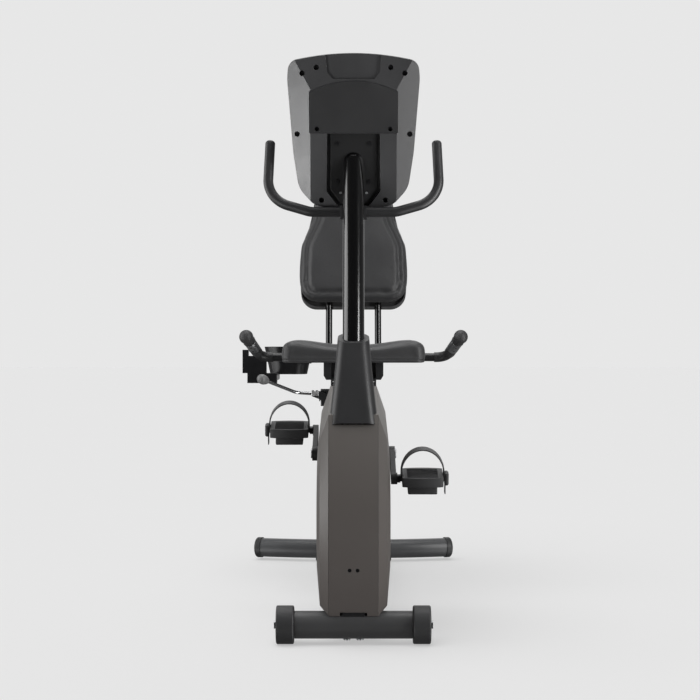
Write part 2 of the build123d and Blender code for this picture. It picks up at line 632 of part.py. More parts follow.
POCKET = [(64.5, 58.2), (65.5, -82), (38, -119)]
POCKET_OUT = [(67.5, 59), (68.5, -83.5), (40, -121.5)]
GAP_DEPTH = -23.0                                     # the dark gap all round the mast's plate
BOSS = [(56.5, 58.2), (56.5, -78.8), (31.6, -113.5)]
BOSS_IN = [(54, 55.7), (54, -77.5), (30, -110.5)]
SCOOP = [(71, 110), (64, 40), (50, 24)]               # on the top band's plane
SCOOP_OUT = [(74, 110), (67, 39), (51.5, 21)]
with BuildPart() as cover_hollow:
    cover_body(LIP)
    plate_shape(POCKET_OUT, GAP_DEPTH - LIP, 5, Mode.SUBTRACT)
    plate_shape(BOSS_IN, RIM - 1, -15.5, Mode.ADD)
    plate_shape(SCOOP_OUT, -6 - LIP, 25, Mode.SUBTRACT, BAND)
    panel_shape(4, -5.5, 5, Mode.SUBTRACT)
    console_holes(COVER_SPOTS, 9, RIM - 1, 5, Mode.SUBTRACT)
    console_holes(PANEL_SPOTS, 8, RIM - 1, 5, Mode.SUBTRACT)

with BuildPart() as pocket_void:                      # the plate's pocket, deeper at its edge
    plate_shape(POCKET, GAP_DEPTH, 5, Mode.ADD)
    plate_shape(BOSS, GAP_DEPTH - 1, -13, Mode.SUBTRACT)

with BuildPart() as console_back_cover:
    cover_body(0)
    add(cover_hollow.part, mode=Mode.SUBTRACT)
    add(pocket_void.part, mode=Mode.SUBTRACT)
    plate_shape(SCOOP, -6, 25, Mode.SUBTRACT, BAND)
    panel_shape(0.8, -2.9, 5, Mode.SUBTRACT)
    console_holes(COVER_SPOTS, 6.5, -22, 5, Mode.SUBTRACT)
    console_holes(PANEL_SPOTS, 5.6, -14, 5, Mode.SUBTRACT)
    console_holes(COVER_SPOTS + PLATE_SPOTS + PANEL_SPOTS, 2.05, RIM - 5, 0, Mode.SUBTRACT)
save(console_back_cover, "console_back_cover")

with BuildPart() as console_access_panel:
    panel_shape(0, -2.8, 0.4, Mode.ADD)
    console_holes(PANEL_SPOTS, 5.6, -7, 5, Mode.SUBTRACT)
save(console_access_panel, "console_access_panel")

with BuildPart() as mount_plate:
    plate_shape([(54.6, 57.2), (54.6, -78), (30.6, -111)], PLATE_DEPTH - 3, PLATE_DEPTH, Mode.ADD)
    console_holes(PLATE_SPOTS, 2.05, -20, 5, Mode.SUBTRACT)
    console_holes([(32, -84)], 2.5, -20, 5, Mode.SUBTRACT)
save(mount_plate, "mount_plate")

KEY_SPOTS = {"key_down": (-34, 14), "key_start": (0, 14), "key_up": (34, 14)}
KEY_R = 8.0
with BuildPart() as console_bezel:
    console_block(0, FACE, RIM - 0.3)
    front_rim = console_bezel.faces().sort_by(Axis(CONSOLE.origin, CONSOLE.z_dir))[0].edges()
    fillet(front_rim, 6)
    extrude(CONSOLE.offset(FACE + LIP) * console_face(3), amount=30, mode=Mode.SUBTRACT)
    with BuildSketch(CONSOLE.offset(FACE - 5)) as windows:
        with Locations((0, 130)):
            RectangleRounded(190, 130, 6)
        with Locations(*KEY_SPOTS.values()):
            Circle(KEY_R + 0.4)
    extrude(windows.sketch, amount=12, mode=Mode.SUBTRACT)
    with BuildSketch(CONSOLE.offset(FACE)) as ledge:  # reading ledge under the screen
        with Locations((0, 46)):
            RectangleRounded(200, 5, 2)
    extrude(ledge.sketch, amount=-22)
save(console_bezel, "console_bezel")

with BuildPart() as console_screen:
    with BuildSketch(CONSOLE.offset(FACE + LIP)) as pane:
        with Locations((0, 130)):
            RectangleRounded(204, 144, 6)
    extrude(pane.sketch, amount=1.8)
save(console_screen, "console_screen")

with BuildPart() as circuit_board:
    with BuildSketch(CONSOLE.offset(-38)) as board:
        with Locations((0, 100)):
            Rectangle(210, 205)
    extrude(board.sketch, amount=1.6)
    with BuildSketch(CONSOLE.offset(-36.4)) as chips:
        with Locations((-40, 120), (40, 120), (0, 60)):
            Rectangle(24, 24)
    extrude(chips.sketch, amount=3)
    for key_x, key_y in KEY_SPOTS.values():           # switches behind the keys
        with BuildSketch(CONSOLE.offset(-39.4)) as switch:
            with Locations((key_x, key_y)):
                Rectangle(8, 8)
        extrude(switch.sketch, amount=1.4)
save(circuit_board, "circuit_board")

for name, spot in KEY_SPOTS.items():
    with BuildPart() as key:
        with BuildSketch(CONSOLE.offset(FACE - 2.5)) as cap:
            with Locations(spot):
                Circle(KEY_R)
        extrude(cap.sketch, amount=7)
        fillet(key.edges().sort_by(Axis(CONSOLE.origin, CONSOLE.z_dir))[0], 1.5)
        with BuildSketch(CONSOLE.offset(FACE + LIP + 0.2)) as flange:
            with Locations(spot):
                Circle(KEY_R + 2)
        extrude(flange.sketch, amount=1.5)
    save(key, name)

with BuildPart() as cover_screws:
    console_holes(COVER_SPOTS, 5, -22, -18.5, Mode.ADD)
    console_holes(COVER_SPOTS, 2, -27.5, -22, Mode.ADD)
    console_holes(PLATE_SPOTS, 5, PLATE_DEPTH, PLATE_DEPTH + 2.6, Mode.ADD)
    console_holes(PLATE_SPOTS, 2, -15.4, PLATE_DEPTH, Mode.ADD)
    console_holes(PANEL_SPOTS, 4.8, -14, -11, Mode.ADD)
    console_holes(PANEL_SPOTS, 2, -24, -14, Mode.ADD)
    for x, z in SCREW_SPOTS:                          # two in the housing's front cover
        head = Plane(origin=(x, 0, z), z_dir=(0, -1, 0))
        rod(head, 4.2, SCREW_SEAT, SCREW_SEAT + 2)
        rod(head, 2.0, SCREW_SEAT - 8, SCREW_SEAT)
save(cover_screws, "cover_screws")

# ---------------------------------------------------------------- seat rail and its legs
RAIL_FRONT, RAIL_REAR = -300.0, 300.0
with BuildPart() as seat_rail:
    with BuildSketch(Plane(RAIL.origin, x_dir=(1, 0, 0), z_dir=RAIL.y_dir).offset(RAIL_FRONT)):
        RectangleRounded(2 * RAIL_HALF_X, 2 * RAIL_HALF_Z, 5)
        RectangleRounded(2 * (RAIL_HALF_X - WALL), 2 * (RAIL_HALF_Z - WALL), 3, mode=Mode.SUBTRACT)
    extrude(amount=RAIL_REAR - RAIL_FRONT)
save(seat_rail, "seat_rail")

with BuildPart() as rail_end_caps:
    for place, way in ((RAIL_FRONT, -1), (RAIL_REAR, 1)):
        end = Plane(RAIL.from_local_coords(Vector(0, place, 0)), x_dir=(1, 0, 0),
                    z_dir=way * RAIL.y_dir)
        with BuildSketch(end) as plug:
            RectangleRounded(2 * RAIL_HALF_X, 2 * RAIL_HALF_Z, 5)
        extrude(plug.sketch, amount=5)
        with BuildSketch(end) as stem:
            RectangleRounded(2 * (RAIL_HALF_X - WALL) - 0.6, 2 * (RAIL_HALF_Z - WALL) - 0.6, 3)
        extrude(stem.sketch, amount=-12)
    end = Plane(origin=(0, BEAM_REAR, (BEAM_LOW + BEAM_TOP) / 2), x_dir=(1, 0, 0), z_dir=(0, 1, 0))
    with BuildSketch(end) as plug:
        RectangleRounded(2 * BEAM_HALF, BEAM_TOP - BEAM_LOW, 8)
    extrude(plug.sketch, amount=5)
save(rail_end_caps, "rail_end_caps")

LEGS = ((-20, 10, 26), (520, 500, 26))                # foot Y, top Y and half depth of each leg
RAIL_UNDER = RAIL.offset(-RAIL_HALF_Z)
with BuildPart() as seat_legs:
    for foot_y, head_y, half_y in LEGS:
        with BuildSketch(SIDE.offset(-22)) as leg:
            with BuildLine():
                Polyline((foot_y - half_y, BEAM_TOP - 20), (foot_y + half_y, BEAM_TOP - 20),
                         (head_y + half_y, 640), (head_y - half_y, 640), close=True)
            make_face()
        extrude(leg.sketch, amount=44)
        with BuildSketch(SIDE.offset(-22 + WALL)) as bore:
            with BuildLine():
                Polyline((foot_y - half_y + WALL, 100), (foot_y + half_y - WALL, 100),
                         (head_y + half_y - WALL, 660), (head_y - half_y + WALL, 660), close=True)
            make_face()
        extrude(bore.sketch, amount=44 - 2 * WALL, mode=Mode.SUBTRACT)
    split(bisect_by=Plane.XY.offset(BEAM_TOP), keep=Keep.TOP)
    split(bisect_by=RAIL_UNDER, keep=Keep.BOTTOM)
save(seat_legs, "seat_legs")

# ---------------------------------------------------------------- carriage, rollers, lever
CARRIAGE_HALF, CARRIAGE_IN, CARRIAGE_OUT = 95.0, 60.0, 63.0
ROLLER_R, ROLLER_Z = 11.0, RAIL_HALF_Z + 11.3
ROLLERS = {"rollers_front": -62.0, "rollers_rear": 62.0}
LOCK_Y = -58.0                                        # the lock block, ahead of the middle
LEVER_PIVOT = RAIL.from_local_coords(Vector(-82, LOCK_Y, 0))
BRACKET = ((63.0, 185.0, 576.0), (83.5, 420.0, SEAT_LOW))
CROSSBAR = Plane(origin=(0, CROSS_Y, CROSS_Z), x_dir=(0, 1, 0), z_dir=(1, 0, 0))
with BuildPart() as carriage:
    with BuildSketch(Plane(RAIL.origin, x_dir=(1, 0, 0), z_dir=RAIL.y_dir).offset(-CARRIAGE_HALF)):
        with Locations((0, -31.5)):                   # this plane's y points down
            Rectangle(2 * CARRIAGE_OUT, 35)
            Rectangle(2 * CARRIAGE_IN, 29, mode=Mode.SUBTRACT)
            with Locations((0, 10)):
                Rectangle(2 * CARRIAGE_IN, 20, mode=Mode.SUBTRACT)
    extrude(amount=2 * CARRIAGE_HALF)
    for place in ROLLERS.values():
        spindle = Plane(RAIL.from_local_coords(Vector(0, place, ROLLER_Z)), x_dir=(0, 1, 0),
                        z_dir=(1, 0, 0))
        rod(spindle, 4.05, -80, 80, Mode.SUBTRACT)
    for side in SIDES.values():                       # chamfered brackets that carry the pan
        (near, front, low), (far, rear, top) = BRACKET
        with BuildSketch(Plane.XZ.offset(-front)) as bracket:
            with BuildLine():
                Polyline((side * near, top), (side * far, top), (side * far, low + 12),
                         (side * (far - 7), low), (side * near, low), close=True)
            make_face()
        extrude(bracket.sketch, amount=front - rear)
        saddle_low, saddle_high = sorted((side * near, side * far))
        box_of((saddle_low, CROSS_Y - 12, SEAT_LOW - 1), (saddle_high, CROSS_Y + 12, CROSS_Z))
    rod(CROSSBAR, HANDLE_R + 0.1, -90, 90, Mode.SUBTRACT)
    box_of((-63.5, 247, 587.5), (63.5, 253, SEAT_LOW))   # web between the brackets
    with BuildSketch(RAIL.offset(-27)) as block:
        with Locations((-78, LOCK_Y)):
            RectangleRounded(27, 34, 3)
    extrude(block.sketch, amount=38)
    with BuildSketch(RAIL.offset(11)) as tongue:      # joins the lock block to the side wall
        with Locations((-76, LOCK_Y)):
            Rectangle(32, 34)
    extrude(tongue.sketch, amount=5)
    lock = Plane(RAIL.from_local_coords(Vector(0, LOCK_Y, -8)), x_dir=(0, 1, 0), z_dir=(1, 0, 0))
    rod(lock, 5.06, -120, -40, Mode.SUBTRACT)
    pivot = Plane(LEVER_PIVOT, x_dir=(1, 0, 0), z_dir=RAIL.y_dir)
    rod(pivot, 4.56, -20, -8.5, Mode.SUBTRACT)
save(carriage, "carriage")

for name, place in ROLLERS.items():
    spindle = Plane(RAIL.from_local_coords(Vector(0, place, ROLLER_Z)), x_dir=(0, 1, 0),
                    z_dir=(1, 0, 0))
    with BuildPart() as rollers:
        rod(spindle, 4.0, -62.5, 62.5)
        for side in SIDES.values():
            rod(spindle, ROLLER_R, *sorted((side * 8, side * 24)))
            rod(spindle, 6, *sorted((side * 24, side * 59)))
    save(rollers, name)

with BuildPart() as lock_pin:                         # a friction pad on a plunger
    rod(lock, 10, -34.6, -30.4)
    rod(lock, 5.0, -94, -34)
    rod(lock, 8, -96, -93)
save(lock_pin, "lock_pin")

ARM_FRONT, ARM_BACK = -26.0, -18.0                    # ahead of the lock block's front face
KNOB = Vector(-243, 36.5, 580)
rod_start = RAIL.from_local_coords(Vector(-108, LOCK_Y + (ARM_FRONT + ARM_BACK) / 2, 9))
rod_bend = Vector(-159, rod_start.Y - 6, 541)
knob_axis = Plane(KNOB, z_dir=KNOB - rod_bend)
with BuildPart() as seat_lever:
    with BuildSketch(pivot.offset(ARM_FRONT)) as arm:  # this plane's y points down
        with BuildLine():
            Polyline((8, 8), (8, -8), (-12, -16), (-35, -15), (-35, -3), (-8, 8), close=True)
        make_face()
        fillet(arm.vertices(), 3)
    extrude(arm.sketch, amount=ARM_BACK - ARM_FRONT)
    rod(pivot, 4.5, ARM_BACK, -9)
    with BuildLine() as line:
        FilletPolyline(rod_start, rod_bend, KNOB, radius=30)
    with BuildSketch(line.line ^ 0) as wire:
        Circle(4.5)
    sweep(wire.sketch, path=line.line)
save(seat_lever, "seat_lever")

with BuildPart() as lever_knob:
    knob_side = Plane(KNOB, x_dir=knob_axis.x_dir, z_dir=-knob_axis.y_dir)
    with BuildSketch(knob_side) as egg:
        with BuildLine():
            Spline((0, 22), (13.5, 7), (9, -13), tangents=((1, 0), (-0.4, -1)))
            Polyline((9, -13), (0, -13), (0, 22))
        make_face()
    revolve(egg.sketch, axis=Axis(KNOB, knob_axis.z_dir))
    rod(knob_axis, 4.5, -20, 0, Mode.SUBTRACT)
save(lever_knob, "lever_knob")

# ---------------------------------------------------------------- seat, back and handles
PAN_HALF, PAN_THICK = 150.0, 8.0
with BuildPart() as seat_pan:                         # two boards let into the cushion
    box_of((-PAN_HALF, 190, SEAT_LOW), (PAN_HALF, 334, SEAT_LOW + PAN_THICK))
    box_of((-PAN_HALF, 366, SEAT_LOW), (PAN_HALF, 500, SEAT_LOW + PAN_THICK))
    fillet(seat_pan.edges().filter_by(Axis.Z), 12)
save(seat_pan, "seat_pan")

with BuildPart() as seat_cushion:
    with BuildSketch(Plane.XZ.offset(-SEAT_FRONT)) as front:
        with BuildLine():
            Polyline((-SEAT_HALF, SEAT_LOW), (-SEAT_HALF, 685), (-165, 685), (-80, 670), (80, 670),
                     (165, 685), (SEAT_HALF, 685), (SEAT_HALF, SEAT_LOW), close=True)
        make_face()
        fillet(front.vertices().group_by(Axis.X)[0] + front.vertices().group_by(Axis.X)[-1], 20)
    extrude(front.sketch, amount=SEAT_FRONT - SEAT_REAR)
    box_of((-PAN_HALF - 0.5, 189.5, SEAT_LOW - 1), (PAN_HALF + 0.5, 500.5, SEAT_LOW + PAN_THICK + 0.2),
           Mode.SUBTRACT)
    box_of((-SEAT_HALF - 1, CROSS_Y - 14, SEAT_LOW - 1), (SEAT_HALF + 1, CROSS_Y + 14, CROSS_Z + 14),
           Mode.SUBTRACT)                             # tunnel for the crossbar
save(seat_cushion, "seat_cushion")

BACK_SIDE = [(96, 350, 60), (126, 170, 250), (164, 0, 90), (156, -108, 48)]


def back_slab(low, high, inset, bottom, mode=Mode.ADD):
    """The backrest's outline between two depths, its lower edge moved to a height."""
    with BuildSketch(BACK.offset(low)) as slab:
        with BuildLine():
            right = [(x - inset, min(y, 350 - inset) if y > 0 else (bottom if y < 0 else y))
                     for x, y, _ in BACK_SIDE]
            bends = [r for _, _, r in BACK_SIDE]
            FilletPolyline(*right, *[(-x, y) for x, y in reversed(right)],
                           radius=[*bends, *reversed(bends)], close=True)
        make_face()
    extrude(slab.sketch, amount=high - low, mode=mode)


with BuildPart() as back_cushion:
    back_slab(4, 50, 0, -108)
save(back_cushion, "back_cushion")

POST_X, POST_R = 73.6, 9.8
with BuildPart() as back_shell:
    back_slab(-26, 3.5, 1, -120)
    back_slab(-23, 5, 4, -117, Mode.SUBTRACT)
    for side in SIDES.values():                       # notches where the posts pass
        with BuildSketch(BACK.offset(-22.5)) as notch:
            with Locations((side * POST_X, -120)):
                Rectangle(2 * POST_R + 3, 20)
        extrude(notch.sketch, amount=40, mode=Mode.SUBTRACT)
save(back_shell, "back_shell")

post_top = BACK.from_local_coords(Vector(0, 240, -10))
post_turn = BACK.from_local_coords(Vector(0, -300, -10))
POST_Z = 603.0
turn_y = post_turn.Y + (POST_Z - post_turn.Z) * BACK.y_dir.Y / BACK.y_dir.Z
with BuildPart() as seat_posts:
    for side in SIDES.values():
        x = side * POST_X
        with BuildLine() as path:
            FilletPolyline((x, BRACKET[1][1], POST_Z), (x, turn_y, POST_Z),
                           (x, post_top.Y, post_top.Z), radius=45)
        with BuildSketch(path.line ^ 0) as ring:
            Circle(POST_R)
            Circle(POST_R - 2, mode=Mode.SUBTRACT)
        sweep(ring.sketch, path=path.line)
save(seat_posts, "seat_posts")

GRIP_R, GRIP_BALL, GRIP_LENGTH = 16.0, 20.0, 100.0
with BuildPart() as seat_handles:                     # one bent bar through the cushion's tunnel
    far, near, high = HANDLE_END
    bent_tube([(-far, near, high), (-CROSS_X, CROSS_Y, CROSS_Z), (CROSS_X, CROSS_Y, CROSS_Z),
               (far, near, high)], 38, HANDLE_R, HANDLE_WALL)
save(seat_handles, "seat_handles")

with BuildPart() as grips:
    for side in SIDES.values():
        end = Vector(side * far, near, high)
        grip = Plane(end, z_dir=end - Vector(side * CROSS_X, CROSS_Y, CROSS_Z))
        with BuildSketch(grip.offset(-GRIP_LENGTH)) as ring:
            Circle(GRIP_R)
        extrude(ring.sketch, amount=GRIP_LENGTH - 2)
        with Locations(Location(end)):
            Sphere(GRIP_BALL)
        rod(grip, HANDLE_R, -GRIP_LENGTH - 5, 0, Mode.SUBTRACT)
save(grips, "grips")

TRAY = (-197.0, 622.0)                                # middle of the bottle tray in plan
with BuildPart() as caddy:
    with BuildSketch(Plane.XY.offset(582)) as foot:
        with Locations(TRAY):
            RectangleRounded(112, 86, 40)
    with BuildSketch(Plane.XY.offset(665)) as rim:
        with Locations(TRAY):
            RectangleRounded(147, 106, 50)
    loft([foot.sketch.faces()[0], rim.sketch.faces()[0]])
    with BuildSketch(Plane.XY.offset(585)) as inner_foot:
        with Locations(TRAY):
            RectangleRounded(106, 80, 37)
    with BuildSketch(Plane.XY.offset(666)) as inner_rim:
        with Locations(TRAY):
            RectangleRounded(141, 100, 47)
    loft([inner_foot.sketch.faces()[0], inner_rim.sketch.faces()[0]], mode=Mode.SUBTRACT)
    box_of((-175, 470, 616.5), (-125, 582, SEAT_LOW - 0.1))   # tab under the seat pan
    box_of((-309, 386, 561), (-254, 420, 640))        # the arm's foot and its upright pocket
    box_of((-256, 386, 561), (-223, 420, 590))
    box_of((-323, 386, 590), (-306, 420, 658))
    box_of((-245, 386, 568), (-223, 590, 584))
    box_of((-304, 391, 570), (-259, 415, 641), mode=Mode.SUBTRACT)
save(caddy, "caddy")
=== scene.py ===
import json
from math import cos, exp, hypot, pi, radians, sin, tan

import bmesh
import bpy
from mathutils import Matrix, Vector


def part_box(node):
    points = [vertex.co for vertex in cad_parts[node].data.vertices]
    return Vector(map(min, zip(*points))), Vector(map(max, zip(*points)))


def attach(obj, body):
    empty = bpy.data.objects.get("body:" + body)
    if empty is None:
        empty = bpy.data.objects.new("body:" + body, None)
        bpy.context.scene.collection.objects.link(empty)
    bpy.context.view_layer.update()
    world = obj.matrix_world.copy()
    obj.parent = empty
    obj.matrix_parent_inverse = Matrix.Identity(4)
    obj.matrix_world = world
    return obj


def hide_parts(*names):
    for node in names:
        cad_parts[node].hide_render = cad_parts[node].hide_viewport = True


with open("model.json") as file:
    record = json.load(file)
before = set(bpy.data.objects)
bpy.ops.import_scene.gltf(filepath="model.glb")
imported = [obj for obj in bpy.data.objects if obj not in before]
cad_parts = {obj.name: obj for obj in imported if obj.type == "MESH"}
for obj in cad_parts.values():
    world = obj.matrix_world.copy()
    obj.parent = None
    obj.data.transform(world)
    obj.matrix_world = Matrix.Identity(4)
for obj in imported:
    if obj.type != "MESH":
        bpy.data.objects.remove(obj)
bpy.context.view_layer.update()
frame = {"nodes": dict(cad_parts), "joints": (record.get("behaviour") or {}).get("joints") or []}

NODES = frame["nodes"]
JOINTS = {joint["name"]: joint for joint in frame["joints"]}
SIDES = {"left": -1, "right": 1}


# ---------------------------------------------------------------- shader wires
class Wire:
    """A socket of a node tree. Sums of wires and numbers add Math nodes."""

    def __init__(self, socket, tree):
        self.socket, self.tree = socket, tree

    def node(self, kind, settings=None, inputs=None, output=0):
        """Add a node, set it up, fill its sockets, and give the wire of one of its outputs."""
        made = self.tree.nodes.new("ShaderNode" + kind)
        for name, value in (settings or {}).items():
            setattr(made, name, value)
        for name, value in (inputs or {}).items():
            if isinstance(value, Wire):
                self.tree.links.new(value.socket, made.inputs[name])
            else:
                made.inputs[name].default_value = value
        return Wire(made.outputs[output], self.tree)

    def sum(self, operation, first, second):
        return self.node("Math", {"operation": operation}, {0: first, 1: second})

    def __add__(self, other):
        return self.sum("ADD", self, other)

    def __sub__(self, other):
        return self.sum("SUBTRACT", self, other)

    def __rsub__(self, other):
        return self.sum("SUBTRACT", other, self)

    def __mul__(self, other):
        return self.sum("MULTIPLY", self, other)

    __radd__ = __add__
    __rmul__ = __mul__

    def between(self, low, high):
        """0 below low, 1 above high, straight between them."""
        return self.node("MapRange", None, {"Value": self, "From Min": low, "From Max": high})

    def noise(self, size, detail=2.0, roughness=0.5):
        """Soft noise with features of a size in metres, from 0 to 1."""
        return self.node("TexNoise", None, {"Vector": self, "Scale": 1 / size, "Detail": detail,
                                            "Roughness": roughness})

    def blend(self, first, second):
        """The colour first where this wire is 0 and second where it is 1."""
        colours = {6: first if isinstance(first, Wire) else (*first, 1),
                   7: second if isinstance(second, Wire) else (*second, 1)}
        return self.node("Mix", {"data_type": "RGBA"}, {0: self, **colours}, output=2)

    def axis(self, letter):
        """One coordinate of a vector."""
        return self.node("SeparateXYZ", None, {"Vector": self}, letter)


def scaled(colour, factor):
    """A colour made lighter or darker."""
    return tuple(min(1.0, part * factor) for part in colour)


def new_finish(name, roughness, **constants):
    """A material with its constants set: the material, a function that feeds it, and its place."""
    material = bpy.data.materials.new(name)
    material.use_nodes = True
    tree = material.node_tree
    shader = tree.nodes["Principled BSDF"]
    shader.inputs["Roughness"].default_value = roughness
    for socket, value in constants.items():
        shader.inputs[socket.replace("_", " ")].default_value = value
    coordinates = tree.nodes.new("ShaderNodeTexCoord")

    def feed(**wires):
        for socket, wire in wires.items():
            tree.links.new(wire.socket, shader.inputs[socket.replace("_", " ")])

    return material, feed, Wire(coordinates.outputs["Object"], tree)


def edges_of(place, radius):
    """The normal with its edges rounded, and a mask that is 1 on them."""
    rounded = place.node("Bevel", {"samples": 4}, {"Radius": radius})
    plain = place.node("NewGeometry", output="Normal")
    along = place.node("VectorMath", {"operation": "DOT_PRODUCT"}, {0: rounded, 1: plain}, "Value")
    return rounded, (1 - along).between(0.01, 0.12)


def bumped(height, depth, normal, strength=1.0):
    """The normal of a surface with small heights on it."""
    return height.node("Bump", None, {"Strength": strength, "Distance": depth, "Height": height,
                                      "Normal": normal})


# ---------------------------------------------------------------- finishes
def moulded_plastic(name, colour, roughness, edge=0.0008, lift=1.5):
    """Injection-moulded plastic: fine spark grain, faint sink and handling marks, paler edges."""
    material, feed, place = new_finish(name, roughness, Specular_IOR_Level=0.45)
    rounded, worn = edges_of(place, edge)
    cloudy = place.noise(0.09, 3).between(0.3, 0.7)
    rubbed = place.noise(0.018, 4, 0.6)
    base = cloudy.blend(scaled(colour, 0.93), scaled(colour, 1.07))
    feed(Base_Color=(worn * 0.6).blend(base, scaled(colour, lift)),
         Roughness=(cloudy * 0.05 + rubbed * 0.08) + (roughness - 0.06),
         Normal=bumped(place.noise(0.0011, 2) + rubbed * 0.15, 0.00012, rounded))
    return material


def painted_steel(name, colour, roughness, coat=0.0):
    """Baked paint on tube: a slight orange peel, dust in the film, rubbed edges."""
    material, feed, place = new_finish(name, roughness, Coat_Weight=coat, Coat_Roughness=0.08,
                                       Specular_IOR_Level=0.5)
    rounded, worn = edges_of(place, 0.0007)
    cloudy = place.noise(0.12, 2).between(0.3, 0.7)
    base = cloudy.blend(scaled(colour, 0.9), scaled(colour, 1.1))
    flecks = place.noise(0.0016, 1).between(0.66, 0.8)
    feed(Base_Color=(worn * 0.35 + flecks * 0.12).blend(base, scaled(colour, 3.0)),
         Roughness=cloudy * 0.06 + (roughness - 0.03),
         Normal=bumped(place.noise(0.006, 2) + place.noise(0.0009, 1) * 0.3, 0.00008, rounded))
    return material


def bare_metal(name, colour, roughness, across=0.0, edge=0.0006):
    """Plated or turned metal with fine tool marks and faint stains."""
    material, feed, place = new_finish(name, roughness, Metallic=1.0)
    rounded, worn = edges_of(place, edge)
    stains = place.noise(0.012, 4, 0.6).between(0.35, 0.75)
    marks = place.node("VectorMath", {"operation": "MULTIPLY"},
                       {0: place, 1: (1, 1, 1 + across)}).noise(0.0012, 3)
    base = stains.blend(colour, scaled(colour, 0.8))
    feed(Base_Color=(worn * 0.5).blend(base, scaled(colour, 1.25)),
         Roughness=stains * 0.12 + (marks * 0.1 + (roughness - 0.1)),
         Normal=bumped(marks, 0.00003, rounded))
    return material


def lever_metal():
    """The lever's chromed rod, and the black paint on its inner end."""
    material, feed, place = new_finish("lever_chrome", 0.16)
    rounded, worn = edges_of(place, 0.0006)
    painted = place.axis("X").between(LEVER_PAINT_X - 0.0005, LEVER_PAINT_X + 0.0005)
    stains = place.noise(0.012, 4, 0.6).between(0.35, 0.75)
    bright = (worn * 0.5).blend(stains.blend((0.72, 0.72, 0.73), (0.58, 0.58, 0.59)),
                                (0.9, 0.9, 0.91))
    feed(Base_Color=painted.blend(bright, (0.014, 0.014, 0.015)), Metallic=1 - painted,
         Roughness=stains * 0.12 + (painted * 0.2 + 0.08),
         Normal=bumped(place.noise(0.0012, 3), 0.00003, rounded))
    return material


def rubber(name, colour, roughness=0.62, depth=0.00018):
    """Soft dark rubber with a pebbled skin and a little dust in it."""
    material, feed, place = new_finish(name, roughness, Specular_IOR_Level=0.35)
    rounded, worn = edges_of(place, 0.0008)
    dusty = place.noise(0.03, 4, 0.6).between(0.45, 0.8)
    cells = place.node("TexVoronoi", {"feature": "SMOOTH_F1"},
                       {"Vector": place, "Scale": 1 / 0.0014, "Smoothness": 0.4})
    feed(Base_Color=(dusty * 0.5 + worn * 0.4).blend(colour, scaled(colour, 1.7)),
         Roughness=dusty * 0.1 + (roughness - 0.04),
         Normal=bumped(cells, depth, rounded))
    return material


def vinyl(name, colour):
    """Black upholstery vinyl: small leather pebbles with creases between, painted shade in the
    creases, worn softer on top.
    """
    material, feed, place = new_finish(name, 0.5, Specular_IOR_Level=0.5, Sheen_Weight=0.08,
                                       Sheen_Roughness=0.5)
    warped = place.node("VectorMath", {"operation": "MULTIPLY_ADD"},
                        {0: place.node("TexNoise", None, {"Vector": place, "Scale": 320.0},
                                       "Color"),
                         1: (0.0012,) * 3, 2: place})
    pebbles = place.node("TexVoronoi", {"feature": "SMOOTH_F1"},
                         {"Vector": warped, "Scale": 520.0, "Smoothness": 0.35})
    creases = place.node("TexVoronoi", {"feature": "DISTANCE_TO_EDGE"},
                         {"Vector": warped, "Scale": 170.0}).between(0.0, 0.06)
    handled = place.noise(0.11, 3).between(0.35, 0.7)
    geometry = place.node("NewGeometry", output="Normal")
    base = handled.blend(scaled(colour, 0.9), scaled(colour, 1.12))
    # painted shade: the creases between the pebbles are darkened to 0.7 of the colour
    feed(Base_Color=creases.blend(scaled(colour, 0.7), base),
         Roughness=pebbles * 0.1 + (handled * 0.06 + 0.42),
         Normal=bumped((1 - pebbles) * 0.7 + creases * 0.3, 0.00022, geometry, 0.8))
    return material


def belt_rubber():
    """A ribbed drive belt: fine grooves round its width."""
    material, feed, place = new_finish("belt_rubber", 0.6)
    grooves = place.node("Math", {"operation": "SINE"}, {0: place.axis("X") * (2 * pi / 0.0024)})
    tired = place.noise(0.02, 3).between(0.3, 0.8)
    feed(Base_Color=tired.blend((0.012, 0.012, 0.013), (0.03, 0.03, 0.03)),
         Roughness=tired * 0.15 + 0.5,
         Normal=bumped(grooves, 0.0004, place.node("NewGeometry", output="Normal")))
    return material


def screen_glass(centre, across, up):
    """A dark liquid-crystal window: blank fields, a bar profile and a status row, softly lit."""
    material, feed, place = new_finish("screen_glass", 0.08, Coat_Weight=1.0, Coat_Roughness=0.03)

    def along(direction):
        offset = place.node("VectorMath", {"operation": "SUBTRACT"}, {0: place, 1: centre})
        return offset.node("VectorMath", {"operation": "DOT_PRODUCT"}, {0: offset, 1: direction},
                           "Value")

    right, height = along(across), along(up)

    def inside(value, low, high):
        soft = 0.0004
        return value.between(low, low + soft) * (1 - value.between(high - soft, high))

    def block(left, right_end, foot, top):
        return inside(right, left, right_end) * inside(height, foot, top)

    glow = block(-0.078, 0.078, -0.0535, -0.0522)      # the status row
    field, line = 0.024, 0.0008
    for column in range(3):                            # the three readout fields
        middle = (column - 1) * 0.058
        frame_line = (block(middle - field, middle + field, 0.028, 0.052)
                      - block(middle - field + line, middle + field - line,
                              0.028 + line, 0.052 - line))
        bar = block(middle - 0.017, middle + 0.005 * (column + 1), 0.037, 0.043)
        glow = glow + frame_line + bar * 0.8
    for step in range(12):                             # the bar profile of a programme
        middle = -0.0715 + step * 0.013
        top = -0.034 + 0.028 * (0.45 + 0.4 * sin(step * 0.75))
        glow = glow + block(middle - 0.0042, middle + 0.0042, -0.046, top)
    smudges = place.noise(0.03, 4, 0.6)
    feed(Base_Color=glow.blend((0.004, 0.006, 0.007), (0.1, 0.2, 0.22)),
         Emission_Color=glow.blend((0.0, 0.002, 0.003), (0.25, 0.62, 0.66)),
         Roughness=smudges * 0.12 + 0.03)
    material.node_tree.nodes["Principled BSDF"].inputs["Emission Strength"].default_value = 0.8
    return material


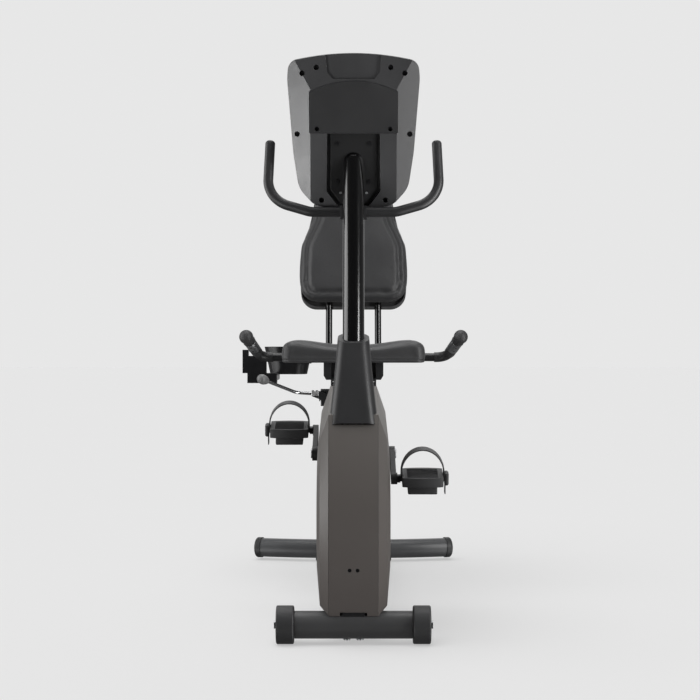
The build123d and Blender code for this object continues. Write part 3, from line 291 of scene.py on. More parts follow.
def circuit_green():
    """Solder mask with paler copper tracks."""
    material, feed, place = new_finish("circuit_green", 0.4)
    tracks = place.node("TexBrick", {"offset": 0.3},
                        {"Vector": place, "Scale": 60.0, "Mortar Size": 0.03}, "Fac")
    feed(Base_Color=tracks.blend((0.01, 0.09, 0.035), (0.05, 0.22, 0.08)),
         Roughness=tracks * 0.1 + 0.35,
         Normal=bumped(tracks, 0.0001, place.node("NewGeometry", output="Normal")))
    return material


def housing_paint():
    """Warm grey satin plastic of the drive covers with fine grain, a little darker and redder low
    down: painted shade.
    """
    colour = (0.086, 0.078, 0.073)
    material, feed, place = new_finish("housing_taupe", 0.42, Specular_IOR_Level=0.5,
                                       Coat_Weight=0.12, Coat_Roughness=0.3)
    rounded, worn = edges_of(place, 0.0012)
    cloudy = place.noise(0.14, 2).between(0.3, 0.7)
    # painted shade: the colour runs darker and redder towards the bottom of the covers
    height = place.axis("Z").between(0.1, 0.5)
    low_shade_tone = height.blend((0.088, 0.076, 0.070), (0.088, 0.081, 0.075))
    base = (cloudy * 0.35).blend(low_shade_tone, scaled(colour, 1.1))
    feed(Base_Color=(worn * 0.5).blend(base, scaled(colour, 1.5)),
         Roughness=cloudy * 0.05 + (place.noise(0.02, 4) * 0.07 + 0.36),
         Normal=bumped(place.noise(0.001, 2), 0.00009, rounded))
    return material


CONSOLE_TILT = radians(12)
console_middle = Vector((0, -0.4485, 1.134))
console_out = Vector((0, -cos(CONSOLE_TILT), -sin(CONSOLE_TILT)))
console_up = console_out.cross(Vector((1, 0, 0)))
SCREEN_UP = 0.13                                       # from the console's middle to the screen's
LEVER_PAINT_X = -0.098                                 # where the lever's black paint ends

black_plastic = moulded_plastic("black_plastic", (0.022, 0.022, 0.023), 0.45)
boot_plastic = moulded_plastic("boot_plastic", (0.02, 0.02, 0.021), 0.38, edge=0.002)
console_plastic = moulded_plastic("console_plastic", (0.028, 0.028, 0.029), 0.38, edge=0.001)
panel_plastic = moulded_plastic("panel_plastic", (0.027, 0.027, 0.028), 0.42, edge=0.0006)
tray_plastic = moulded_plastic("tray_plastic", (0.012, 0.012, 0.013), 0.3, edge=0.0012)
pedal_plastic = moulded_plastic("pedal_plastic", (0.03, 0.03, 0.031), 0.5)
wheel_plastic = moulded_plastic("wheel_plastic", (0.028, 0.028, 0.029), 0.5, edge=0.0012)
knob_plastic = moulded_plastic("knob_plastic", (0.14, 0.14, 0.14), 0.4)
gloss_black = painted_steel("gloss_black_paint", (0.0018, 0.0018, 0.002), 0.2, coat=0.6)
bar_black = painted_steel("satin_black_paint", (0.022, 0.022, 0.023), 0.4)
plate_black = painted_steel("plate_black_paint", (0.006, 0.006, 0.0065), 0.5)
tube_grey = painted_steel("graphite_paint", (0.055, 0.056, 0.058), 0.36)
frame_paint = painted_steel("frame_black_paint", (0.014, 0.014, 0.015), 0.36)
clamp_nickel = bare_metal("clamp_nickel", (0.9, 0.9, 0.9), 0.4)
zinc = bare_metal("zinc_plate", (0.46, 0.47, 0.48), 0.34)
steel = bare_metal("turned_steel", (0.42, 0.42, 0.43), 0.3, across=4.0)
dark_steel = bare_metal("black_oxide_steel", (0.055, 0.055, 0.058), 0.4)
iron = bare_metal("flywheel_iron", (0.3, 0.3, 0.31), 0.38, across=2.0)
sensor_metal = bare_metal("sensor_plate_steel", (0.56, 0.57, 0.58), 0.36, edge=0.001)
grip_rubber = rubber("grip_rubber", (0.035, 0.035, 0.036), 0.5)
strap_rubber = rubber("strap_rubber", (0.03, 0.03, 0.031), 0.48, depth=0.0001)
key_rubber = rubber("key_rubber", (0.1, 0.1, 0.1), 0.6)
mark_white = moulded_plastic("key_mark_ink", (0.7, 0.7, 0.68), 0.5, edge=0.0002, lift=1.1)
seat_vinyl = vinyl("seat_vinyl", (0.028, 0.028, 0.029))

FINISHES = (
    (gloss_black, ("mast", "seat_posts")),
    (bar_black, ("handlebar",)),
    (painted_steel("stabilizer_paint", (0.045, 0.045, 0.046), 0.4), ("front_stabilizer",)),
    (plate_black, ("mount_plate", "crank_arm_left", "crank_arm_right")),
    (tube_grey, ("rear_stabilizer",)),
    (frame_paint, ("main_beam", "mast_socket", "drive_bracket", "seat_legs", "seat_handles",
                   "carriage", "seat_pan", "handlebar_clamp")),
    (boot_plastic, ("mast_boot",)),
    (housing_paint(), ("housing_left", "housing_right", "housing_front_cover")),
    (console_plastic, ("console_back_cover", "console_bezel")),
    (panel_plastic, ("console_access_panel",)),
    (black_plastic, ("rear_end_caps", "rail_end_caps", "handlebar_end_caps")),
    (pedal_plastic, ("pedal_left", "pedal_right")),
    (moulded_plastic("shell_plastic", (0.062, 0.062, 0.063), 0.5), ("back_shell",)),
    (tray_plastic, ("caddy",)),
    (wheel_plastic, ("wheel_left", "wheel_right")),
    (rubber("foot_rubber", (0.02, 0.02, 0.02)), ("foot_left", "foot_right")),
    (steel, ("crank_axle", "bearings", "flywheel_pulley")),
    (dark_steel, ("cover_screws", "magnet_carrier", "lock_pin", "pedal_spindles")),
    (zinc, ("stabilizer_bolts", "rollers_front", "rollers_rear")),
    (lever_metal(), ("seat_lever",)),
    (knob_plastic, ("lever_knob",)),
    (iron, ("flywheel",)),
    (moulded_plastic("pulley_nylon", (0.018, 0.018, 0.018), 0.5), ("drive_pulley",)),
    (belt_rubber(), ("drive_belt",)),
    (bare_metal("rail_satin_steel", (0.33, 0.33, 0.34), 0.34, across=-0.9), ("seat_rail",)),
    (screen_glass(console_middle + SCREEN_UP * console_up, Vector((-1, 0, 0)), console_up),
     ("console_screen",)),
    (circuit_green(), ("circuit_board",)),
    (grip_rubber, ("grips",)),
    (strap_rubber, ("strap_left", "strap_right")),
    (key_rubber, ("key_down", "key_start", "key_up")),
    (seat_vinyl, ("seat_cushion", "back_cushion")),
)
for finish, names in FINISHES:
    for name in names:
        for material_slot in NODES[name].material_slots:
            material_slot.material = finish


# ---------------------------------------------------------------- modelling helpers
def alone(piece):
    """Make one piece the only selected one, and the active one."""
    bpy.ops.object.select_all(action="DESELECT")
    piece.select_set(True)
    bpy.context.view_layer.objects.active = piece


def primitive(kind, name, **settings):
    """Add a mesh primitive with nothing else selected, and name it."""
    bpy.ops.object.select_all(action="DESELECT")
    getattr(bpy.ops.mesh, f"primitive_{kind}_add")(**settings)
    piece = bpy.context.object
    piece.name = name
    bpy.ops.object.transform_apply(location=True, rotation=True, scale=True)
    return piece


def middle_of(item):
    """The middle of a vertex, edge or face."""
    if isinstance(item, bmesh.types.BMVert):
        return item.co
    return sum((v.co for v in item.verts), Vector()) / len(item.verts)


def choose(piece, passes, kind="faces"):
    """Open a piece for editing, with the elements selected that pass a test."""
    if bpy.context.mode != "EDIT_MESH":
        alone(piece)
        bpy.ops.object.mode_set(mode="EDIT")
    bpy.ops.mesh.select_mode(type={"verts": "VERT", "edges": "EDGE", "faces": "FACE"}[kind])
    bpy.ops.mesh.select_all(action="DESELECT")
    mesh = bmesh.from_edit_mesh(piece.data)
    for item in getattr(mesh, kind):
        item.select_set(bool(passes(item)))
    mesh.select_flush_mode()
    bmesh.update_edit_mesh(piece.data)


def close_edit():
    bpy.ops.object.mode_set(mode="OBJECT")


def modify(piece, kind, **settings):
    """Add a modifier and apply it."""
    alone(piece)
    made = piece.modifiers.new(kind.lower(), kind)
    for name, value in settings.items():
        setattr(made, name, value)
    bpy.ops.object.modifier_apply(modifier=made.name)


def shift(piece, where):
    """Move every point of a piece by a function of its place."""
    for vertex in piece.data.vertices:
        vertex.co = where(vertex.co)
    piece.data.update()


def done(piece, body, finish, angle=35, place=None):
    """Shade, place and paint a piece, and let it ride on its body."""
    if place is not None:
        piece.data.transform(place)
    alone(piece)
    bpy.ops.object.mode_set(mode="EDIT")
    bpy.ops.mesh.select_all(action="SELECT")
    bpy.ops.mesh.normals_make_consistent(inside=False)
    bpy.ops.object.mode_set(mode="OBJECT")
    bpy.ops.object.shade_smooth_by_angle(angle=radians(angle))
    piece.data.materials.clear()
    piece.data.materials.append(finish)
    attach(piece, body)


def copy_of(piece, name, place):
    """A copy with its own mesh, moved by a matrix."""
    made = piece.copy()
    made.data = piece.data.copy()
    made.name = name
    made.data.transform(place)
    bpy.context.collection.objects.link(made)
    return made


def joined(pieces, name):
    """Several pieces as one."""
    alone(pieces[0])
    for piece in pieces[1:]:
        piece.select_set(True)
    if len(pieces) > 1:
        bpy.ops.object.join()
    pieces[0].name = name
    return pieces[0]


def axes(origin, across, normal):
    """The matrix of a place whose z is the normal and whose x runs across."""
    z = Vector(normal).normalized()
    x = Vector(across).normalized()
    y = z.cross(x).normalized()
    x = y.cross(z)
    return Matrix.Translation(Vector(origin)) @ Matrix((x, y, z)).transposed().to_4x4()


def smooth_step(value, low, high):
    """0 below low, 1 above high, and an easy curve between."""
    t = min(1.0, max(0.0, (value - low) / (high - low)))
    return t * t * (3 - 2 * t)


def bevelled_box(name, size, middle, width, segments=3):
    """A box with rounded edges."""
    piece = primitive("cube", name, size=1, location=middle, scale=size)
    modify(piece, "BEVEL", width=width, segments=segments, limit_method="ANGLE")
    return piece


def tube(name, points, radius):
    """A round bar along smooth points, closed at both ends."""
    bpy.ops.object.select_all(action="DESELECT")
    bpy.ops.curve.primitive_nurbs_path_add()
    curve = bpy.context.object
    curve.name = name
    curve.data.splines.clear()
    spline = curve.data.splines.new("NURBS")
    spline.points.add(len(points) - 1)
    for point, place in zip(spline.points, points):
        point.co = (*place, 1)
    spline.order_u = 3
    spline.use_endpoint_u = True
    spline.resolution_u = 12
    curve.data.dimensions = "3D"
    curve.data.bevel_depth = radius
    curve.data.bevel_resolution = 6
    curve.data.use_fill_caps = True
    curve.location = (0, 0, 0)
    bpy.ops.object.convert(target="MESH")
    piece = bpy.context.object
    alone(piece)
    bpy.ops.object.mode_set(mode="EDIT")
    bpy.ops.mesh.select_all(action="SELECT")
    bpy.ops.mesh.remove_doubles(threshold=0.00001)
    bpy.ops.object.mode_set(mode="OBJECT")
    return piece


# ---------------------------------------------------------------- cushions
def outline_slab(name, outline, low, high):
    """A closed slab whose outline is a list of points, between two heights."""
    piece = primitive("circle", name, vertices=len(outline), fill_type="NGON")
    for vertex, (x, y) in zip(piece.data.vertices, outline):
        vertex.co = (x, y, low)
    choose(piece, lambda face: True)
    bpy.ops.mesh.extrude_region_move(TRANSFORM_OT_translate={"value": (0, 0, high - low)})
    bpy.ops.mesh.select_all(action="SELECT")
    bpy.ops.mesh.normals_make_consistent(inside=False)
    close_edit()
    return piece


def stuff(piece, held):
    """Blow a closed cover up like a cushion: cloth under pressure, held where a test says,
    and no point moved further than the cap."""
    pressure, cap = 3.5, 0.004
    rest = [vertex.co.copy() for vertex in piece.data.vertices]
    group = piece.vertex_groups.new(name="held")
    group.add([v.index for v in piece.data.vertices if held(v.co)], 1.0, "REPLACE")
    alone(piece)
    cloth = piece.modifiers.new("cloth", "CLOTH")
    cloth.settings.vertex_group_mass = "held"
    cloth.settings.use_pressure = True
    cloth.settings.uniform_pressure_force = pressure
    cloth.settings.tension_stiffness = 40
    cloth.settings.compression_stiffness = 40
    cloth.settings.bending_stiffness = 6
    cloth.settings.effector_weights.gravity = 0
    for step in range(1, 21):
        bpy.context.scene.frame_set(step)
    bpy.ops.object.modifier_apply(modifier="cloth")
    bpy.context.scene.frame_set(1)
    piece.vertex_groups.clear()
    for vertex, start in zip(piece.data.vertices, rest):
        moved = vertex.co - start
        if moved.length > cap:
            vertex.co = start + moved * (cap / moved.length)


def rounded_corner(middle, radius, start, steps=7):
    """The points of a quarter turn, counter-clockwise."""
    return [(middle[0] + radius * cos(start + pi / 2 * k / steps),
             middle[1] + radius * sin(start + pi / 2 * k / steps)) for k in range(steps + 1)]


SEAT_LOW, SEAT_HALF = 0.6228, 0.2005
SEAT_FRONT, SEAT_REAR = 0.168, 0.518
SEAT_DIP, SEAT_TOP = 0.6718, 0.6845
SEAT_SEAM_Y, WELT_UP = 0.41, 0.010                     # the seam across, the groove round


def seat_top(x):
    """Height of the seat's top: a dip in the middle and a thigh bolster at each side."""
    return SEAT_DIP + (SEAT_TOP - SEAT_DIP) * smooth_step(abs(x), 0.04, 0.166)


def seat_pad():
    """The seat: one moulded pad, flat in front, soft along its top, with end bolsters."""
    corner, tail = 0.026, 0.07
    left, right = -SEAT_HALF, SEAT_HALF
    outline = (rounded_corner((right - corner, SEAT_FRONT + corner), corner, -pi / 2)
               + rounded_corner((right - tail, SEAT_REAR - tail), tail, 0)
               + rounded_corner((left + tail, SEAT_REAR - tail), tail, pi / 2)
               + rounded_corner((left + corner, SEAT_FRONT + corner), corner, pi))
    pad = outline_slab("seat_pad", outline, SEAT_LOW + 0.001, SEAT_TOP - 0.002)
    choose(pad, lambda edge: middle_of(edge).z > SEAT_TOP - 0.004, "edges")
    bpy.ops.mesh.bevel(offset=0.02, segments=6, profile=0.5)
    choose(pad, lambda edge: middle_of(edge).z < SEAT_LOW + 0.0015, "edges")
    bpy.ops.mesh.bevel(offset=0.003, segments=2)
    close_edit()
    modify(pad, "REMESH", mode="VOXEL", voxel_size=0.005)
    low, high = SEAT_LOW, SEAT_TOP - 0.002

    def sunk(co):
        share = smooth_step(co.z, low + 0.008, high)
        return Vector((co.x, co.y, co.z - share * (SEAT_TOP - seat_top(co.x))))

    shift(pad, sunk)
    stuff(pad, lambda co: co.z < low + 0.012)
    modify(pad, "SMOOTH", factor=0.5, iterations=6)

    def welted(co):
        """A sewn groove round the side, a little above the bottom edge, and one across the top."""
        depth = 0.0022 * exp(-((co.z - (low + WELT_UP)) / 0.0016) ** 2)
        inward = Vector((-co.x, (SEAT_FRONT + SEAT_REAR) / 2 - co.y, 0)).normalized()
        moved = co + inward * depth
        if co.z > low + 0.03:
            moved.z -= 0.0026 * exp(-((co.y - SEAT_SEAM_Y) / 0.0035) ** 2)
        return moved

    modify(pad, "SUBSURF", levels=1, render_levels=1)
    shift(pad, welted)
    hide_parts("seat_cushion")
    done(pad, "seat", seat_vinyl, angle=60)


BACK_TILT = radians(12)
BACK_PLACE = axes((0, 0.590, 0.900), (1, 0, 0), (0, -cos(BACK_TILT), sin(BACK_TILT)))
BACK_LOW, BACK_HIGH, BACK_DEPTH = -0.1065, 0.3485, 0.044
BACK_WIDTHS = ((-0.108, 0.156), (-0.03, 0.1635), (0.05, 0.161), (0.175, 0.121), (0.35, 0.096))


def back_half(height):
    """Half width of the backrest at a height above its middle."""
    for (low, at_low), (high, at_high) in zip(BACK_WIDTHS, BACK_WIDTHS[1:]):
        if height <= high:
            return at_low + (at_high - at_low) * smooth_step(height, low, high)
    return BACK_WIDTHS[-1][1]


def back_outline(inset):
    """The backrest's outline, moved in by an inset."""
    foot_r, head_r = 0.05, 0.062
    low, high = BACK_LOW + inset, BACK_HIGH - inset
    foot_x = back_half(low + foot_r) - inset - foot_r
    head_x = back_half(high - head_r) - inset - head_r
    side = [low + foot_r + (high - low - foot_r - head_r) * k / 26 for k in range(1, 26)]
    right = (rounded_corner((foot_x, low + foot_r), foot_r, -pi / 2, 9)
             + [(back_half(h) - inset, h) for h in side]
             + rounded_corner((head_x, high - head_r), head_r, 0, 9))
    return right + [(-x, y) for x, y in reversed(right)]


def edge_distance(outline):
    """A function that gives a point's distance from an outline."""
    spots = [(Vector(a), Vector(b)) for a, b in zip(outline, outline[1:] + outline[:1])]

    def distance(x, y):
        best = 1.0
        for a, b in spots:
            run = b - a
            t = max(0.0, min(1.0, ((x - a.x) * run.x + (y - a.y) * run.y) / run.length_squared))
            best = min(best, hypot(x - a.x - t * run.x, y - a.y - t * run.y))
        return best

    return distance


def back_pad():
    """The backrest's cushion: a soft raised panel inside a rolled border."""
    pad = outline_slab("back_pad", back_outline(0.0015), 0.005, BACK_DEPTH)
    choose(pad, lambda edge: middle_of(edge).z > BACK_DEPTH - 0.0005, "edges")
    bpy.ops.mesh.bevel(offset=0.016, segments=6, profile=0.5)
    choose(pad, lambda edge: middle_of(edge).z < 0.0055, "edges")
    bpy.ops.mesh.bevel(offset=0.005, segments=3)
    close_edit()
    modify(pad, "REMESH", mode="VOXEL", voxel_size=0.005)
    stuff(pad, lambda co: co.z < 0.012)
    modify(pad, "SMOOTH", factor=0.5, iterations=4)
    modify(pad, "SUBSURF", levels=1, render_levels=1)
    distance = edge_distance(back_outline(0.0))

    def pressed(co):
        """The valley between the border and the panel, and the panel's crown."""
        if co.z < 0.02:
            return co
        inner = distance(co.x, co.y)
        valley = 0.0062 * exp(-((inner - 0.0265) / 0.0075) ** 2)
        crown = 0.0022 * smooth_step(inner, 0.03, 0.08)
        front = smooth_step(co.z, 0.02, 0.036)
        return Vector((co.x, co.y, co.z + front * (crown - valley)))

    shift(pad, pressed)
    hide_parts("back_cushion")
    done(pad, "seat", seat_vinyl, angle=60, place=BACK_PLACE)


seat_pad()
back_pad()


# ---------------------------------------------------------------- pedals and straps
PEDAL_HALF, PEDAL_TIP = 0.0488, radians(12)
TREAD_TOP, TREAD_LOW = 0.014, -0.010
ARCH_TOP, STRAP_HALF, STRAP_THICK = 0.0735, 0.016, 0.0028


def pedal_tread():
    """A tread with bowed front and rear edges, a dished grip top and a weight hung under it.
    Its x runs out from the crank, y back along the tread, and the axle is at the origin."""
    tread = primitive("cube", "tread", size=1,
                      location=(0, 0, (TREAD_TOP + TREAD_LOW) / 2),
                      scale=(2 * PEDAL_HALF, 0.082, TREAD_TOP - TREAD_LOW))
    choose(tread, lambda edge: abs((edge.verts[0].co - edge.verts[1].co).x) > 0.05, "edges")
    bpy.ops.mesh.subdivide(number_cuts=11)
    close_edit()

    def bowed(co):
        bow = 0.006 * (1 - (co.x / PEDAL_HALF) ** 2)
        return Vector((co.x, co.y + (bow if co.y > 0 else -bow), co.z))

    shift(tread, bowed)
    choose(tread, lambda face: face.normal.z > 0.9)
    bpy.ops.mesh.inset(thickness=0.005)
    bpy.ops.transform.translate(value=(0, 0, -0.0016))
    bpy.ops.mesh.inset(thickness=0.002)
    close_edit()
    modify(tread, "BEVEL", width=0.0022, segments=3, limit_method="ANGLE", angle_limit=radians(40))
    bars = [bevelled_box("bar", (2 * PEDAL_HALF - 0.024, 0.0022, 0.0024),
                         (0, row * 0.0105, TREAD_TOP - 0.0008), 0.0008, 2)
            for row in range(-3, 4)]                   # grip bars across the tread
    weight = bevelled_box("weight", (0.070, 0.054, 0.024), (0, 0, -0.0205), 0.003)
    return joined([tread, *bars, weight], "pedal_tread")


def pedal_strap():
    """The foot strap: a rubber band arched over the tread, with a ribbed buckle and a tail."""
    foot_z, spring_z, upright = -0.004, 0.016, 0.12    # upright is the share of each straight leg
    half = PEDAL_HALF + STRAP_THICK / 2 + 0.0004

    def arch(t):
        """A point of the band's middle line, from the inner edge over to the outer one."""
        if t < upright:
            return -half, foot_z + (spring_z - foot_z) * t / upright
        if t > 1 - upright:
            return half, foot_z + (spring_z - foot_z) * (1 - t) / upright
        turn = pi * (1 - upright - t) / (1 - 2 * upright)
        return half * cos(turn), spring_z + (ARCH_TOP - spring_z) * sin(turn)

    band = primitive("grid", "band", x_subdivisions=72, y_subdivisions=8, size=1)

    def bent(co):
        t = co.x + 0.5
        x, z = arch(t)
        waist = 1 - 0.18 * smooth_step(abs(t - 0.5), 0.2, 0.42)
        return Vector((x, 2 * co.y * STRAP_HALF * waist, z))

    shift(band, bent)
    modify(band, "SOLIDIFY", thickness=STRAP_THICK, offset=0.0)
    modify(band, "BEVEL", width=0.0008, segments=2, limit_method="ANGLE", angle_limit=radians(50))
    parts = [band]
    for step in range(7):                              # ribs for the buckle, low on the outside
        t = 0.80 + step * 0.012
        x, z = arch(t)
        x2, z2 = arch(t + 0.004)
        rib = bevelled_box("rib", (0.0012, 0.016, 0.0026), (0, 0, 0), 0.0004, 2)
        along = Vector((x2 - x, 0, z2 - z)).normalized()
        out = Vector((-along.z, 0, along.x))
        out = out if out.x > 0 else -out
        rib.data.transform(axes((x + out.x * STRAP_THICK / 2, 0, z + out.z * STRAP_THICK / 2),
                                out, along))
        parts.append(rib)
    buckle_z = 0.001
    parts.append(bevelled_box("buckle", (0.0095, 0.030, 0.030),
                              (half + 0.0062, 0, buckle_z), 0.0032, 4))
    for row in range(-3, 4):                           # finger ribs on the buckle
        parts.append(bevelled_box("finger", (0.0016, 0.024, 0.0020),
                                  (half + 0.0112, 0, buckle_z + row * 0.0038), 0.0006, 2))
    parts.append(bevelled_box("tail", (0.0026, 0.022, 0.024), (half + 0.0035, 0, -0.024),
                              0.0009, 2))
    return joined(parts, "pedal_strap")


def pedals():
    """Both pedals: a mirrored copy for the left."""
    tread, strap = pedal_tread(), pedal_strap()
    for name, side in SIDES.items():
        centre = Vector(JOINTS[f"pedal_{name}_spin"]["pos_m"])
        low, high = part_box(f"pedal_{name}")
        centre.x = (low.x + high.x) / 2
        place = (Matrix.Translation(centre) @ Matrix.Rotation(PEDAL_TIP, 4, "X")
                 @ Matrix.Diagonal((side, 1, 1, 1)))
        for model, kind, finish, slot in ((tread, "pedal", pedal_plastic, "trim_black"),
                                          (strap, "strap", strap_rubber, "strap_rubber")):
            made = copy_of(model, f"{kind}_{name}_moulding", place)
            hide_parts(f"{kind}_{name}")
            done(made, f"pedal_{name}", finish)
    for model in (tread, strap):
        bpy.data.objects.remove(model)


pedals()

# ---------------------------------------------------------------- handles and sensor plates
GRIP_END = (0.303, 0.2365, 0.696)
GRIP_ELBOW = (0.268, 0.350, 0.637)
GRIP_BEND, SLEEVE_START = 0.038, 0.233


def handle_points(side):
    """The elbow and the end of the seat handle on one side."""
    return (Vector((side * GRIP_ELBOW[0], *GRIP_ELBOW[1:])),
            Vector((side * GRIP_END[0], *GRIP_END[1:])))


def sensor_plates():
    """Two curved steel plates on each grip, front and rear, each with two small slots."""
    for name, side in SIDES.items():
        elbow, end = handle_points(side)
        place = axes(end, (1, 0, 0), elbow - end)      # z runs down the grip from its ball
        for half, way in (("front", -1), ("rear", 1)):
            shell = primitive("cylinder", f"sensor_{half}_{name}", vertices=64, radius=0.0158,
                              depth=0.046, location=(0, 0, 0.052), end_fill_type="NOTHING")
            choose(shell, lambda face: way * middle_of(face).y < 0.0022)
            bpy.ops.mesh.delete(type="FACE")
            close_edit()
            modify(shell, "SOLIDIFY", thickness=0.0009, offset=1.0)
            modify(shell, "BEVEL", width=0.0004, segments=2, limit_method="ANGLE")
            done(shell, "seat", sensor_metal, place=place)
            slots = [bevelled_box("slot", (0.0062, 0.0012, 0.0024), (0, way * 0.0166, height),
                                  0.0005, 2) for height in (0.042, 0.062)]
            done(joined(slots, f"sensor_slots_{half}_{name}"), "seat", dark_steel,
                 place=place)
        collar = primitive("torus", f"grip_collar_{name}", major_radius=0.0163,
                           minor_radius=0.0016, major_segments=48, minor_segments=8,
                           location=(0, 0, 0.0265))
        done(collar, "seat", black_plastic, place=place)


def handle_sleeves():
    """A moulded sleeve over each end of the crossbar, from the seat's side round to the grip."""
    for name, side in SIDES.items():
        elbow, end = handle_points(side)
        inward, onward = Vector((-side, 0, 0)), (end - elbow).normalized()
        half = inward.angle(onward) / 2
        reach = GRIP_BEND / tan(half)
        middle = elbow + (inward + onward).normalized() * (GRIP_BEND / sin(half))
        first = (elbow + inward * reach - middle).normalized()
        last = (elbow + onward * reach - middle).normalized()
        points = [Vector((side * SLEEVE_START, elbow.y, elbow.z))]
        points += [middle + first.slerp(last, step / 10) * GRIP_BEND for step in range(11)]
        points.append(elbow + onward * 0.036)
        sleeve = tube(f"handle_sleeve_{name}", points, 0.0142)
        done(sleeve, "seat", black_plastic, angle=50)


sensor_plates()
handle_sleeves()


# ---------------------------------------------------------------- small bright parts
LEVER_CLAMP = Vector((-0.1075, 0.1705, 0.538))
PLATE_SCREW_X, PLATE_SCREW_UP, PLATE_FACE = 0.032, -0.087, -0.009
KEY_PITCH, KEY_UP, KEY_FACE = 0.034, 0.014, -0.0507    # places from the console's middle


def screw_head(name, radius, height):
    """A pan head with a round recess, its axis along z and its seat at z 0."""
    head = primitive("cylinder", name, vertices=32, radius=radius, depth=height,
                     location=(0, 0, height / 2))
    choose(head, lambda face: face.normal.z > 0.9)
    bpy.ops.mesh.inset(thickness=radius * 0.45)
    bpy.ops.mesh.extrude_region_move(TRANSFORM_OT_translate={"value": (0, 0, -height * 0.6)})
    close_edit()
    modify(head, "BEVEL", width=height * 0.18, segments=2, limit_method="ANGLE",
           angle_limit=radians(50))
    return head


def lever_clamp():
    """The nickel clamp that holds the lever's rod, with two black screws on its top."""
    clamp = bevelled_box("lever_clamp", (0.021, 0.015, 0.0125), LEVER_CLAMP, 0.0016)
    done(clamp, "lever", clamp_nickel)
    heads = []
    for step in (-0.0055, 0.0055):
        head = screw_head("clamp_screw", 0.0034, 0.003)
        head.data.transform(Matrix.Translation(LEVER_CLAMP + Vector((step, 0, 0.0062))))
        heads.append(head)
    done(joined(heads, "lever_clamp_screws"), "lever", dark_steel)


def plate_screws():
    """Two small plated screws at the foot of the console's plate."""
    place = axes(console_middle, (1, 0, 0), console_out)
    for name, side in SIDES.items():
        head = screw_head(f"plate_screw_{name}", 0.0031, 0.0022)
        spot = Matrix.Translation((side * PLATE_SCREW_X, PLATE_SCREW_UP, PLATE_FACE))
        done(head, "frame", zinc, place=place @ spot)


def key_marks():
    """A raised mark on each key: a bar for less, a ring to start and a cross for more."""
    place = axes(console_middle, (1, 0, 0), console_out)
    turned = place @ Matrix.Translation((0, KEY_UP, KEY_FACE)) @ Matrix.Rotation(pi, 4, "Y")
    for key, x in (("key_down", -KEY_PITCH), ("key_start", 0.0), ("key_up", KEY_PITCH)):
        spot = turned @ Matrix.Translation((-x, 0, 0))
        if key == "key_start":
            mark = primitive("torus", "start_mark", major_radius=0.0038, minor_radius=0.0006,
                             major_segments=32, minor_segments=6)
        else:
            bars = [bevelled_box("bar", (0.0085, 0.0016, 0.0008), (0, 0, 0), 0.0003, 2)]
            if key == "key_up":
                bars.append(bevelled_box("bar", (0.0016, 0.0085, 0.0008), (0, 0, 0), 0.0003, 2))
            mark = joined(bars, "mark")
        mark.name = f"{key}_mark"
        done(mark, key, mark_white, place=spot)


lever_clamp()
plate_screws()
key_marks()


# ---------------------------------------------------------------- studio
def floor():
    """A wide pale floor, level with the feet."""
    sheet = primitive("plane", "floor", size=60)
    material, feed, place = new_finish("floor_paint", 0.9, Specular_IOR_Level=0.0,
                                       Emission_Color=(1, 1, 1, 1), Emission_Strength=0.445)
    feed(Base_Color=place.noise(0.6, 2).blend((0.40, 0.40, 0.40), (0.405, 0.405, 0.405)))
    sheet.data.materials.append(material)
    sheet.visible_glossy = False
    return sheet


def card(view, bearing, fall, inner, outer):
    """A soft round reflector seen only in polished surfaces, a bearing to the right of the
    front and below level, full inside one angle and gone outside another, in degrees."""
    turn, drop = radians(bearing), radians(fall)
    aim = (sin(turn) * cos(drop), -cos(turn) * cos(drop), -sin(drop))
    near = view.node("VectorMath", {"operation": "DOT_PRODUCT"}, {0: view, 1: aim}, "Value")
    return near.between(cos(radians(outer)), cos(radians(inner)))


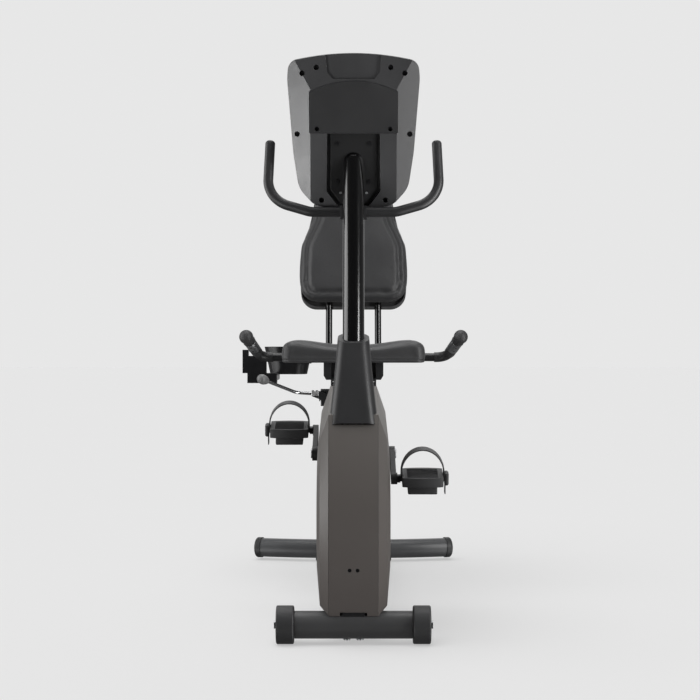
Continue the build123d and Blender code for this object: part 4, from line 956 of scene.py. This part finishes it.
def backdrop():
    """Even pale light behind the bike, darker where it stands in for the room in front."""
    world = bpy.data.worlds.new("studio")
    bpy.context.scene.world = world
    world.use_nodes = True
    tree = world.node_tree
    view = Wire(tree.nodes.new("ShaderNodeTexCoord").outputs["Generated"], tree)
    room = view.axis("Y").between(-0.9, 0.9) * 0.14 + 0.02
    room = room + card(view, -46, 24, 8, 26) * 3.0 + card(view, 46, 24, 8, 24) * 2.0
    room = room + card(view, 70, 37, 10, 20) * 4.5 + card(view, 180, -24, 14, 34) * 0.9
    seen = view.node("LightPath", output="Is Camera Ray")
    tree.links.new(seen.blend(room, (0.80, 0.80, 0.80)).socket,
                   tree.nodes["Background"].inputs["Color"])


def lamp(name, place, target, size, power, lit):
    """A rectangular soft light, aimed at a point, for what a collection says is lit."""
    bpy.ops.object.light_add(type="AREA", location=place)
    light = bpy.context.object
    light.name = name
    light.data.shape = "RECTANGLE"
    light.data.size, light.data.size_y = size
    light.data.energy = power
    light.rotation_euler = (Vector(target) - Vector(place)).to_track_quat("-Z", "Y").to_euler()
    light.visible_camera = False
    light.light_linking.receiver_collection = lit


def lights(ground):
    """A broad sun, soft boxes at both sides and above, and one for the console's back alone."""
    spared = bpy.data.collections.new("floor_spared")
    spared.objects.link(ground)
    spared.collection_objects[0].light_linking.link_state = "EXCLUDE"
    bpy.ops.object.light_add(type="SUN", location=(0, 0, 4))
    sun = bpy.context.object
    sun.data.energy = 2.3
    sun.visible_glossy = False
    sun.data.angle = radians(70)
    sun.rotation_euler = (radians(8), radians(-14), 0)
    lamp("left_box", (-2.4, -0.1, 1.2), (0, -0.3, 0.8), (1.9, 2.6), 42, spared)
    lamp("right_box", (2.1, -1.5, 1.2), (0, -0.2, 0.8), (0.6, 2.4), 52, spared)
    console = bpy.data.collections.new("console_lit")
    console.objects.link(NODES["console_back_cover"])
    lamp("console_box", (-1.75, -2.25, 0.15), (0, -0.45, 1.13), (1.0, 1.0), 74, console)
    lamp("top_box", (0, 0.2, 3.2), (0, 0, 0.5), (1.6, 2.4), 40, spared)


def camera():
    """A long lens ahead of the bike, at the height of its seat."""
    bpy.ops.object.camera_add(location=(0, -4.7335, 0.711), rotation=(radians(89.4), 0, 0))
    view = bpy.context.object
    view.data.sensor_width = 36
    view.data.lens = 90.5
    view.data.shift_x = -0.005
    bpy.context.scene.camera = view


lights(floor())
backdrop()
camera()
bpy.context.scene.view_settings.view_transform = "Standard"
